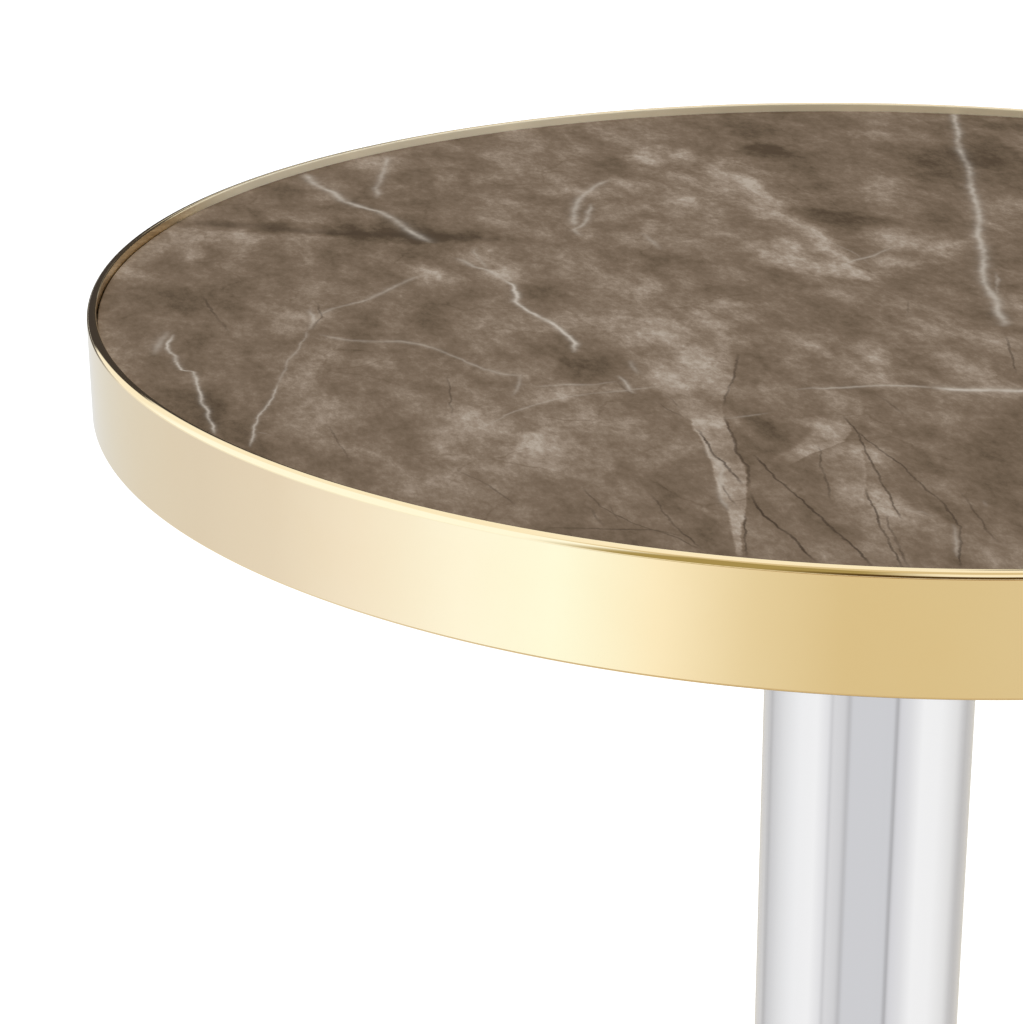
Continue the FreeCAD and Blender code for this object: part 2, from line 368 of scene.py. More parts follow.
@dataclass(frozen=True)
class GoldPlate:
    """Mirror-polished pale gold plating, with a faint haze and hairline polishing marks, and painted sheen on the
    inner wall at the back left: a pale, nearly non-metallic colour there stands in for a bright reflection.
    """

    colour: Colour = (0.93, 0.78, 0.505)
    haze_colour: Colour = (0.925, 0.765, 0.485)
    polish: float = 0.045
    haze: float = 0.05
    haze_noise: Noise = Noise(0.055, 5.0, 0.6)
    haze_tone: Pair = (0.35, 0.70)
    haze_blur: Pair = (0.42, 0.75)
    hairline: Noise = Noise(0.0022, 2.0, 0.5)
    hairline_stretch: Triple = (1.0, 1.0, 14.0)
    hairline_depth: float = 0.0000006
    inner_wall: Pair = (0.2468, 0.2473)
    inner_wall_from: float = 0.489
    # painted sheen: the back-left inner wall gets a pale colour, less metal and more roughness, standing in for a
    # bright reflection
    painted_sheen_colour: Colour = (1.00, 0.90, 0.68)
    painted_sheen_roughness: float = 0.45
    painted_sheen_metallic: float = 0.05
    painted_sheen_back: Pair = (0.06, 0.13)
    painted_sheen_fades: Pair = (-0.13, -0.01)
    painted_sheen_middle_share: float = 0.75

    def make(self) -> bpy.types.Material:
        """Makes the finish.

        Returns:
            The material.
        """
        material, shader = new_material("gold_plate")
        place = shader.place()
        cloud = shader.noise(place, self.haze_noise)
        hairline = shader.noise(shader.stretched(place, self.hairline_stretch), self.hairline)
        # painted sheen mask: the inner wall at the back left, made pale to stand in for a reflection
        inside = self.inside(shader, place)
        colour = shader.mixed(cloud.smooth(*self.haze_tone), self.colour, self.haze_colour)
        shader.surface(
            Base_Color=shader.mixed(inside, colour, self.painted_sheen_colour),
            Metallic=1.0 - inside * (1.0 - self.painted_sheen_metallic),
            Roughness=self.polish + cloud.smooth(*self.haze_blur) * self.haze + inside * self.painted_sheen_roughness,
            Normal=shader.bump(hairline, self.hairline_depth),
        )
        return material

    def inside(self, shader: Shader, place: Wire) -> Wire:
        """How much painted sheen the rim's inner wall over the stone gets: a pale, rougher, nearly non-metallic
        colour that stands in for a bright reflection.

        Args:
            shader: the shader under construction.
            place: the place.

        Returns:
            The most at the back left, and 0 everywhere but on that wall.
        """
        x, y, height = (shader.axis(place, letter) for letter in "XYZ")
        radius = shader.from_axis(place)
        near, far = self.inner_wall
        back = y.smooth(*self.painted_sheen_back) * x.smooth(*self.painted_sheen_fades, 1.0, self.painted_sheen_middle_share)
        return radius.above(near) * radius.below(far) * height.above(self.inner_wall_from) * back


class Run(Enum):
    """The axis that a line in the stone is followed along."""

    X = "X"
    Y = "Y"


def traced(axes: dict[str, Wire], run: Run, points_mm: Sequence[Point]) -> tuple[Wire, Wire]:
    """How far a place is to the side of a drawn line, and where along it.

    Args:
        axes: the place's components by letter.
        run: the axis that the line follows.
        points_mm: the line's points.

    Returns:
        The distance in metres, above 0 to the right of or behind the line, and how well the place lies between the
        line's ends, from 0 to 1.
    """
    pick = list(Run).index(run)
    other = list(Run)[1 - pick]
    points = sorted(points_mm, key=lambda point: point[pick])
    along = [point[pick] * MM for point in points]
    across = [point[1 - pick] * MM for point in points]
    low, high = min(across) - MM, max(across) + MM
    span = along[-1] - along[0]
    curve = [((a - along[0]) / span, (c - low) / (high - low)) for a, c in zip(along, across)]
    share = axes[run.value].scaled(1.0 / span, -along[0] / span)
    level = share.shader.node("ShaderNodeFloatCurve", {"points": curve}, {"Factor": 1.0, "Value": share})
    ends = (share - share * share).limited(span / (LINE_END_MM * MM))
    return axes[other.value] - level.scaled(high - low, low), ends


class Shape(ABC):
    """Something drawn on the stone, at places in mm from the slab's centre, to the right and away from the camera."""

    @abstractmethod
    def drawn(self, axes: dict[str, Wire]) -> Wire:
        """How much of the shape shows at a place.

        Args:
            axes: the place's components by letter.

        Returns:
            The shape's level.
        """


@dataclass(frozen=True)
class Line(Shape):
    """A line in the stone.

    Attributes:
        run: the axis along which its points are in order.
        half_width_mm: half its width.
        strength: how clearly it shows, from 0 to 1.
        points_mm: its points.
    """

    run: Run
    half_width_mm: float
    strength: float
    points_mm: tuple[Point, ...]


class Vein(Line):
    """A pale vein with its glow."""

    def drawn(self, axes: dict[str, Wire]) -> Wire:
        """How much of the vein shows at a place.

        Args:
            axes: the place's components by letter.

        Returns:
            The most on the line, and less with the distance from it.
        """
        gap, ends = traced(axes, self.run, self.points_mm)
        spread = (gap * gap).scaled((VEIN_GLOW * self.half_width_mm * MM) ** -2, 1.0)
        return ends * self.strength / (spread * spread)


class Crack(Line):
    """A dark crack with crisp edges."""

    def drawn(self, axes: dict[str, Wire]) -> Wire:
        """How much of the crack shows at a place.

        Args:
            axes: the place's components by letter.

        Returns:
            The same across the line, up to its edges.
        """
        gap, ends = traced(axes, self.run, self.points_mm)
        inner, outer = (self.half_width_mm * MM * share for share in CRACK_EDGE)
        return abs(gap).smooth(inner, outer, self.strength, 0.0) * ends


@dataclass(frozen=True)
class Cloud(Shape):
    """A soft patch in the stone.

    Attributes:
        centre_mm: its middle.
        reach_mm: its half length and half width.
        turn: the angle of its length in degrees.
        strength: how clearly it shows; below 0 it is darker than its surroundings.
    """

    centre_mm: Point
    reach_mm: Pair
    turn: float
    strength: float

    def drawn(self, axes: dict[str, Wire]) -> Wire:
        """How much of the patch shows at a place.

        Args:
            axes: the place's components by letter.

        Returns:
            The most in the middle, fading to its ends and sides.
        """
        x, y = (value * MM for value in self.centre_mm)
        far = 0.0
        for turn, reach_mm in zip((self.turn, self.turn + RIGHT_ANGLE), self.reach_mm):
            angle = math.radians(turn)
            right, away = math.cos(angle) / (reach_mm * MM), math.sin(angle) / (reach_mm * MM)
            step = axes["X"].scaled(right, axes["Y"].scaled(away, -x * right - y * away))
            far = step.scaled(step, far)
        return far.smooth(0.0, CLOUD_END, self.strength, 0.0)


@dataclass(frozen=True)
class Sliver(Shape):
    """A lighter splinter of the stone between two broken edges, which run along Y.

    Attributes:
        left_mm: its left edge.
        right_mm: its right edge.
        soft_mm: how soft its left edge is.
        strength: how much lighter it is.
    """

    left_mm: tuple[Point, ...]
    right_mm: tuple[Point, ...]
    soft_mm: float
    strength: float

    def drawn(self, axes: dict[str, Wire]) -> Wire:
        """How much of the splinter shows at a place.

        Args:
            axes: the place's components by letter.

        Returns:
            The same all over, up to its edges.
        """
        left, ends = traced(axes, Run.Y, self.left_mm)
        right, _ = traced(axes, Run.Y, self.right_mm)
        soft, crisp = self.soft_mm * MM, SLIVER_EDGE_MM * MM
        return left.smooth(-soft, soft, 0.0, self.strength) * right.smooth(-crisp, crisp, 1.0, 0.0) * ends


def drawn_together(shader: Shader, name: str, place: Wire, shapes: Sequence[Shape],
                   join: Callable[[Wire, Wire], Wire]) -> Wire:
    """Draws shapes in node groups of a few each.

    Args:
        shader: the shader under construction.
        name: what the shapes are called.
        place: where they are read.
        shapes: the shapes.
        join: makes one level of two.

    Returns:
        The joined shapes.
    """
    axes = {run.value: shader.axis(place, run.value) for run in Run}
    groups = []
    for start in range(0, len(shapes), SHAPES_PER_GROUP):
        chosen = shapes[start:start + SHAPES_PER_GROUP]

        def fill(inputs: dict[str, Wire]) -> Wire:
            """Joins the chosen shapes, each as soon as it is drawn."""
            return reduce(join, (shape.drawn(inputs) for shape in chosen))

        groups.append(shader.part(f"{name}_{len(groups) + 1}", axes, fill))
    return reduce(join, groups)


SLIVERS = (
    Sliver(((-84.0, -72.0), (-80.5, -90.0), (-77.5, -103.0), (-76.0, -114.0), (-71.5, -124.0), (-69.5, -136.0)),
        ((-54.0, -72.0), (-55.0, -90.0), (-57.0, -104.0), (-59.8, -116.0), (-61.2, -126.0), (-60.2, -136.0)), 3.0,
        0.13),
    Sliver(((-71.4, -124.8), (-69.8, -134.8), (-68.7, -142.7), (-67.9, -150.7), (-66.8, -159.6), (-66.3, -173.6),
        (-66.3, -187.5), (-64.9, -197.5), (-65.0, -211.4), (-65.4, -233.2)), ((-60.5, -124.9), (-60.2, -134.8),
        (-59.9, -142.8), (-59.5, -150.7), (-58.9, -159.7), (-58.6, -173.6), (-59.4, -187.5), (-60.1, -197.5),
        (-62.6, -211.4), (-64.0, -233.3)), 0.5, 0.30),
    Sliver(((-35.0, -128.0), (-38.0, -140.0), (-42.0, -150.0), (-49.0, -159.0), (-54.0, -168.0)), ((-27.5, -128.0),
        (-27.5, -140.0), (-30.0, -149.0), (-39.0, -157.0), (-47.0, -168.0)), 1.5, 0.22),
    Sliver(((-36.5, -148.0), (-38.0, -170.0), (-39.0, -185.0), (-35.5, -200.0)), ((-26.0, -148.0), (-27.0, -170.0),
        (-29.0, -185.0), (-31.0, -200.0)), 3.0, 0.13),
    Sliver(((-27.0, -180.0), (-28.5, -194.0), (-25.0, -210.0)), ((-25.0, -180.0), (-23.8, -194.0), (-24.2, -210.0)),
        1.0, 0.10),
)

PALE_VEINS = (
    Vein(Run.Y, 1.60, 0.72, ((-193.9, 151.1), (-188.8, 133.9), (-185.2, 127.5), (-181.6, 121.1), (-177.2, 109.7),
        (-170.1, 100.4), (-163.7, 94.7), (-158.7, 84.7), (-155.0, 73.9), (-150.0, 63.2), (-144.3, 51.8))),
    Vein(Run.Y, 1.12, 0.45, ((-136.6, 35.8), (-131.4, 24.8), (-125.7, 19.0), (-121.4, 10.5), (-117.9, 3.2))),
    Vein(Run.Y, 0.83, 0.95, ((-122.0, 10.9), (-117.9, 2.3), (-116.7, -8.1), (-117.1, -16.6), (-114.3, -25.1),
        (-109.3, -33.7), (-105.0, -42.3), (-101.4, -52.3), (-99.9, -60.9), (-100.0, -70.0))),
    Vein(Run.Y, 0.68, 0.30, ((-130.0, 48.7), (-130.7, 40.4), (-127.9, 28.9), (-125.7, 20.5))),
    Vein(Run.Y, 1.15, 0.48, ((-164.1, 177.5), (-164.4, 157.2), (-165.1, 144.5), (-166.5, 127.4), (-165.1, 111.8))),
    Vein(Run.Y, 1.35, 0.55, ((-82.6, 138.5), (-89.1, 125.0), (-93.8, 113.1), (-95.6, 100.1), (-96.6, 83.6),
        (-97.5, 72.5))),
    Vein(Run.Y, 1.00, 0.48, ((-90.0, 105.2), (-91.5, 89.1), (-92.9, 78.0), (-96.6, 68.8), (-94.7, 59.5))),
    Vein(Run.Y, 1.00, 0.42, ((-74.3, 64.3), (-70.2, 48.4), (-68.7, 41.8))),
    Vein(Run.Y, 1.35, 0.70, ((57.6, 244.4), (53.9, 206.0), (51.1, 189.4), (49.9, 163.6), (49.3, 145.2), (46.5, 130.5),
        (44.9, 110.2), (43.6, 91.9), (40.9, 73.5), (38.1, 56.9), (36.6, 38.5), (34.3, 21.9), (31.5, 7.2),
        (31.2, -5.8), (31.7, -17.3), (30.6, -27.2), (29.5, -46.8))),
    Vein(Run.Y, 0.68, 0.35, ((36.9, 14.8), (34.6, -2.4), (32.4, -12.4), (30.3, -21.0))),
    Vein(Run.X, 0.75, 0.45, ((-40.9, -104.6), (-34.0, -103.4), (-29.8, -104.4), (-21.5, -102.5), (-13.1, -101.6),
        (-4.7, -102.5), (2.2, -104.6))),
    Vein(Run.X, 1.45, 0.95, ((-1.7, -103.4), (2.7, -104.8), (8.5, -105.9), (17.0, -106.2), (23.6, -107.2),
        (38.3, -108.0), (52.3, -106.7), (70.3, -109.7))),
    Vein(Run.Y, 1.27, 0.40, ((-221.9, -43.2), (-223.4, -58.6), (-222.5, -69.2))),
    Vein(Run.Y, 0.6, 0.85, ((-219.9, -47.3), (-220.9, -57.2), (-219.7, -64.3), (-216.9, -70.2), (-215.4, -77.2),
        (-213.6, -82.8), (-209.7, -84.6), (-208.4, -91.5), (-206.8, -101.4), (-205.0, -110.0), (-202.6, -120.0),
        (-200.7, -128.5), (-198.3, -141.0))),
    Vein(Run.Y, 0.75, 0.60, ((-180.8, -21.6), (-179.5, -30.0), (-178.4, -36.2), (-179.6, -45.0))),
    Vein(Run.Y, 0.45, 0.30, ((-179.6, -43.3), (-180.2, -54.6), (-181.7, -66.0), (-183.2, -74.5), (-183.9, -84.4),
        (-184.7, -91.6), (-184.2, -98.7))),
    Vein(Run.Y, 0.42, 0.62, ((-184.2, -95.0), (-185.7, -108.6), (-186.8, -118.6), (-188.2, -125.7), (-188.4, -135.7),
        (-187.9, -151.0))),
    Vein(Run.Y, 0.90, 0.50, ((-84.5, -76.0), (-83.5, -83.0), (-82.0, -91.0))),
    Vein(Run.X, 0.45, 0.60, ((-189.0, -137.1), (-184.7, -139.2), (-182.9, -140.7))),
    Vein(Run.Y, 1.10, 0.42, ((-146.1, 16.0), (-155.2, 2.1), (-158.8, -4.9), (-164.5, -14.9), (-173.2, -22.0),
        (-179.2, -31.6))),
    Vein(Run.X, 0.98, 0.34, ((-177.2, -48.6), (-168.8, -54.0), (-161.5, -56.9), (-151.6, -56.3), (-144.4, -60.6),
        (-135.8, -70.6), (-131.5, -77.7), (-126.5, -84.1), (-120.7, -88.4), (-114.0, -91.3))),
    Vein(Run.Y, 0.6, 0.34, ((-116.0, -87.7), (-116.4, -97.7), (-118.6, -109.6))),
    Vein(Run.X, 0.68, 0.28, ((-127.1, -135.5), (-118.7, -123.2), (-112.2, -116.2), (-104.0, -110.2), (-96.0, -106.7),
        (-83.9, -103.8), (-75.9, -100.4))),
    Vein(Run.X, 0.68, 0.34, ((-113.0, -100.7), (-104.0, -98.8), (-95.9, -99.4), (-88.0, -95.9))),
    Vein(Run.Y, 0.68, 0.85, ((-88.2, -90.4), (-86.6, -95.3), (-84.9, -104.4), (-83.4, -107.8))),
    Vein(Run.X, 0.75, 0.40, ((-82.0, -49.6), (-75.9, -51.3), (-69.1, -51.1))),
    Vein(Run.X, 0.98, 0.40, ((-15.7, 18.2), (-7.6, 27.0), (0.3, 34.0), (10.4, 47.8))),
    Vein(Run.X, 0.9, 0.34, ((-12.6, 50.9), (-5.6, 37.0), (-0.7, 19.0))),
    Vein(Run.X, 0.6, 0.50, ((-60.9, -129.7), (-55.8, -127.9), (-47.8, -124.4))),
    Vein(Run.Y, 0.68, 0.45, ((-67.9, -148.7), (-66.5, -157.7), (-63.9, -169.7), (-66.3, -187.5), (-64.8, -201.4))),
    Vein(Run.Y, 0.52, 0.50, ((-1.0, -192.9), (-0.2, -199.8))),
    Vein(Run.X, 0.68, 0.60, ((-20.8, -200.7), (-16.9, -202.2), (-14.3, -205.7))),
    Vein(Run.Y, 0.52, 0.50, ((-10.3, -209.7), (-11.1, -219.7), (-12.8, -233.5))),
    Vein(Run.Y, 0.98, 0.62, ((118.6, 205.1), (112.6, 175.3), (116.6, 141.5), (107.5, 111.8), (110.6, 79.9),
        (101.5, 46.2), (104.4, 14.3), (96.5, -21.3), (98.4, -57.2), (90.4, -91.0))),
    Vein(Run.X, 0.75, 0.50, ((88.4, -90.9), (110.4, -100.0), (131.4, -97.1), (152.4, -111.2), (176.3, -117.3),
        (198.3, -132.3))),
    Vein(Run.Y, 0.68, 0.55, ((196.6, 127.1), (189.5, 95.3), (193.5, 65.4), (184.5, 29.7), (178.5, -8.0),
        (181.4, -35.9))),
    Vein(Run.Y, 0.6, 0.45, ((62.3, -126.6), (70.3, -148.5), (67.3, -174.2), (75.3, -202.2), (73.2, -230.0))),
    Vein(Run.X, 0.83, 0.40, ((112.5, 20.2), (134.5, 8.2), (152.5, 12.0), (176.4, -6.0))),
)

DARK_CRACKS = (
    Crack(Run.X, 3.2, 0.34, ((-228.5, 81.3), (-205.3, 76.2), (-188.2, 69.1), (-170.1, 66.3), (-158.7, 63.3),
        (-144.3, 61.8), (-128.0, 57.6))),
    Crack(Run.X, 2.2, 0.26, ((-168.1, 67.9), (-150.1, 58.8), (-132.0, 59.7), (-120.0, 54.7))),
    Crack(Run.Y, 0.39, 0.80, ((-68.5, -137.0), (-66.5, -152.0), (-63.5, -166.0), (-59.8, -182.0))),
    Crack(Run.Y, 0.39, 0.85, ((-58.5, -186.6), (-56.4, -203.2), (-51.3, -217.4), (-46.6, -235.4))),
    Crack(Run.Y, 0.39, 0.75, ((-55.5, -157.8), (-50.6, -177.7), (-45.6, -194.7), (-41.3, -209.0), (-37.0, -223.2),
        (-33.7, -238.4))),
    Crack(Run.Y, 0.33, 0.70, ((-28.8, -184.0), (-28.6, -205.0), (-27.8, -222.0), (-26.6, -241.0))),
    Crack(Run.Y, 0.33, 0.65, ((-28.0, -127.0), (-25.6, -145.0), (-25.0, -165.0), (-24.0, -187.0), (-22.4, -208.0))),
    Crack(Run.Y, 0.33, 0.50, ((-37.5, -150.0), (-38.5, -172.0), (-38.5, -193.6))),
    Crack(Run.Y, 0.33, 0.62, ((-27.0, -138.0), (-21.0, -156.0), (-17.0, -170.0), (-14.0, -184.0), (-10.5, -198.0),
        (-9.2, -212.0), (-11.0, -226.0), (-13.5, -240.0))),
    Crack(Run.Y, 0.33, 0.50, ((-26.2, -203.0), (-26.0, -222.0), (-25.4, -240.0))),
    Crack(Run.Y, 0.33, 0.45, ((-5.0, -186.0), (-4.0, -205.0), (-1.5, -224.0))),
    Crack(Run.Y, 0.33, 0.50, ((-101.0, -182.0), (-97.0, -196.0), (-89.0, -208.0), (-80.0, -217.0), (-71.0, -230.0))),
    Crack(Run.Y, 0.33, 0.55, ((-99.7, -195.3), (-96.1, -211.8))),
    Crack(Run.Y, 0.28, 0.50, ((-94.6, -193.9), (-91.9, -208.8))),
    Crack(Run.Y, 0.33, 0.60, ((-84.2, -186.4), (-80.0, -205.9), (-77.1, -215.9), (-72.4, -228.2))),
    Crack(Run.X, 0.39, 0.50, ((-110.1, -210.6), (-96.1, -211.9), (-84.3, -213.0), (-74.8, -219.3))),
    Crack(Run.X, 0.33, 0.55, ((-71.0, -225.5), (-66.0, -219.3))),
    Crack(Run.Y, 0.33, 0.60, ((-65.9, -177.6), (-64.3, -187.5), (-62.6, -197.5))),
    Crack(Run.Y, 0.33, 0.70, ((-61.1, -200.5), (-61.9, -215.4), (-63.0, -232.3))),
    Crack(Run.Y, 0.39, 0.45, ((-17.4, -108.2), (-13.8, -118.2), (-10.8, -128.1))),
    Crack(Run.Y, 0.33, 0.60, ((-79.2, -112.8), (-75.5, -121.8), (-70.8, -128.8))),
    Crack(Run.Y, 0.33, 0.55, ((-76.1, -107.4), (-73.6, -115.8), (-71.5, -122.3))),
    Crack(Run.Y, 0.33, 0.50, ((-89.2, -95.9), (-84.0, -109.3))),
    Crack(Run.Y, 0.33, 0.65, ((-108.4, -99.2), (-105.6, -107.2))),
    Crack(Run.X, 0.28, 0.60, ((-109.0, -99.7), (-105.5, -101.7), (-102.5, -100.4))),
    Crack(Run.Y, 0.39, 0.60, ((-52.6, -71.1), (-54.3, -86.1), (-57.1, -102.0), (-60.1, -118.9))),
    Crack(Run.Y, 0.44, 0.60, ((-60.3, -126.8), (-59.9, -140.8), (-59.4, -154.7), (-57.8, -169.1), (-58.9, -184.5))),
    Crack(Run.Y, 0.44, 0.50, ((-216.0, -5.4), (-209.4, -27.4), (-202.8, -47.3))),
    Crack(Run.Y, 0.39, 0.50, ((-179.2, -13.7), (-176.5, -31.6), (-178.9, -45.6))),
    Crack(Run.Y, 0.33, 0.45, ((-136.7, -88.6), (-134.9, -126.5))),
    Crack(Run.Y, 0.39, 0.55, ((28.7, -54.8), (27.1, -70.7), (24.9, -92.5))),
    Crack(Run.Y, 0.33, 0.40, ((4.8, -16.8), (1.3, -36.7))),
    Crack(Run.Y, 0.28, 0.40, ((-169.2, -131.2), (-164.8, -147.2), (-160.3, -163.1))),
    Crack(Run.Y, 0.33, 0.45, ((-134.2, -167.3), (-124.2, -181.3), (-116.6, -197.2))),
    Crack(Run.Y, 0.39, 0.60, ((40.2, -174.1), (46.2, -202.0), (45.2, -235.8))),
    Crack(Run.Y, 0.33, 0.50, ((92.3, -148.6), (99.3, -176.4), (108.3, -210.3))),
    Crack(Run.Y, 0.33, 0.50, ((150.6, 59.7), (146.5, 24.0), (152.5, -19.8))),
)

# Each row: the middle, the half length and half width, the angle of the length, and the strength
CLOUDS = tuple(Cloud((x, y), (length, width), turn, strength) for x, y, length, width, turn, strength in (
    (-113.0, -141.0, 14.0, 8.0, 115.0, 0.25), (-106.0, -162.0, 20.0, 10.0, 100.0, 0.40),
    (-98.0, -84.0, 14.0, 9.0, 100.0, -0.80), (-22.0, -180.0, 34.0, 13.0, 85.0, 0.30),
    (-128.0, -192.0, 26.0, 12.0, 130.0, 0.40), (14.0, -90.0, 26.0, 14.0, 95.0, 0.40),
    (-17.8, -209.7, 22.0, 14.0, 60.0, 0.35), (-100.0, -147.6, 34.0, 20.0, 120.0, 0.50),
    (-118.1, -109.6, 24.0, 12.0, 40.0, 0.40), (-87.9, -100.8, 26.0, 14.0, 20.0, 0.45),
    (-128.1, -81.7, 16.0, 8.0, 130.0, 0.50), (-132.0, 21.9, 30.0, 20.0, 110.0, 0.60),
    (-112.0, -22.1, 34.0, 11.0, 115.0, 0.25), (-65.7, 172.8, 22.0, 12.0, 70.0, 0.95),
    (-49.7, 118.9, 52.0, 30.0, 160.0, 0.45), (-25.7, 105.8, 34.0, 18.0, 110.0, 0.25),
    (-5.6, 37.0, 44.0, 34.0, 20.0, 0.45), (-79.9, 3.6, 24.0, 14.0, 60.0, 0.35), (-55.9, -34.4, 20.0, 9.0, 75.0, 0.65),
    (-21.8, -70.4, 30.0, 12.0, 110.0, 0.50), (12.4, -40.7, 30.0, 16.0, 100.0, 0.60),
    (-200.4, -37.5, 34.0, 13.0, 5.0, 0.45), (-210.3, 64.2, 34.0, 12.0, 165.0, 0.45),
    (-212.0, 32.0, 26.0, 24.0, 0.0, -0.35), (-168.3, -123.3, 24.0, 12.0, 110.0, 0.35),
    (-205.0, -128.0, 44.0, 15.0, 108.0, -0.80), (-89.8, 205.8, 34.0, 16.0, 95.0, 0.45),
    (0.5, 190.1, 50.0, 14.0, 85.0, 0.25), (-29.8, -114.2, 20.0, 8.0, 100.0, 0.40),
    (60.3, -39.1, 60.0, 30.0, 70.0, 0.45), (128.6, 83.8, 70.0, 34.0, 100.0, 0.55),
    (150.4, -69.4, 60.0, 30.0, 40.0, 0.50), (92.0, 168.0, 54.0, 22.0, 120.0, 0.48),
    (34.0, 226.0, 44.0, 18.0, 0.0, -0.40), (92.0, 212.0, 32.0, 18.0, 0.0, -0.40),
    (96.0, 146.0, 30.0, 24.0, 0.0, 0.40), (-62.0, 150.0, 62.0, 30.0, 0.0, 0.32), (5.0, -205.0, 34.0, 8.0, 90.0, 0.55),
    (60.3, -168.3, 48.0, 26.0, 80.0, 0.45), (-185.2, 72.0, 62.0, 8.0, 169.0, -0.85),
    (-150.0, 59.8, 34.0, 6.0, 170.0, -0.95), (-5.0, 82.8, 20.0, 11.0, 140.0, -1.30),
    (-25.5, 181.4, 11.0, 12.0, 0.0, -1.10), (32.5, 122.3, 60.0, 13.0, 88.0, -0.70),
    (-131.9, 129.4, 40.0, 26.0, 100.0, -0.45), (-160.1, 113.7, 22.0, 9.0, 120.0, -0.70),
    (-27.8, -36.5, 28.0, 16.0, 100.0, -0.65), (-49.8, -82.2, 20.0, 9.0, 80.0, -0.75),
    (-148.0, -92.0, 30.0, 26.0, 100.0, -0.60), (-94.9, -69.9, 22.0, 12.0, 110.0, -0.60),
    (-150.2, -37.8, 30.0, 16.0, 60.0, -0.50), (-84.0, -109.8, 20.0, 6.0, 10.0, -0.55),
    (-49.9, -143.9, 22.0, 8.0, 95.0, -0.65), (10.2, -175.9, 60.0, 12.0, 80.0, -0.60),
    (-84.0, -167.5, 30.0, 10.0, 95.0, -0.35), (-92.0, -215.2, 30.0, 8.0, 170.0, -0.50),
    (70.0, 190.0, 80.0, 34.0, 84.0, -1.00), (150.5, 20.0, 60.0, 16.0, 70.0, -0.50),
    (110.3, -148.7, 60.0, 18.0, 110.0, -0.50),
))


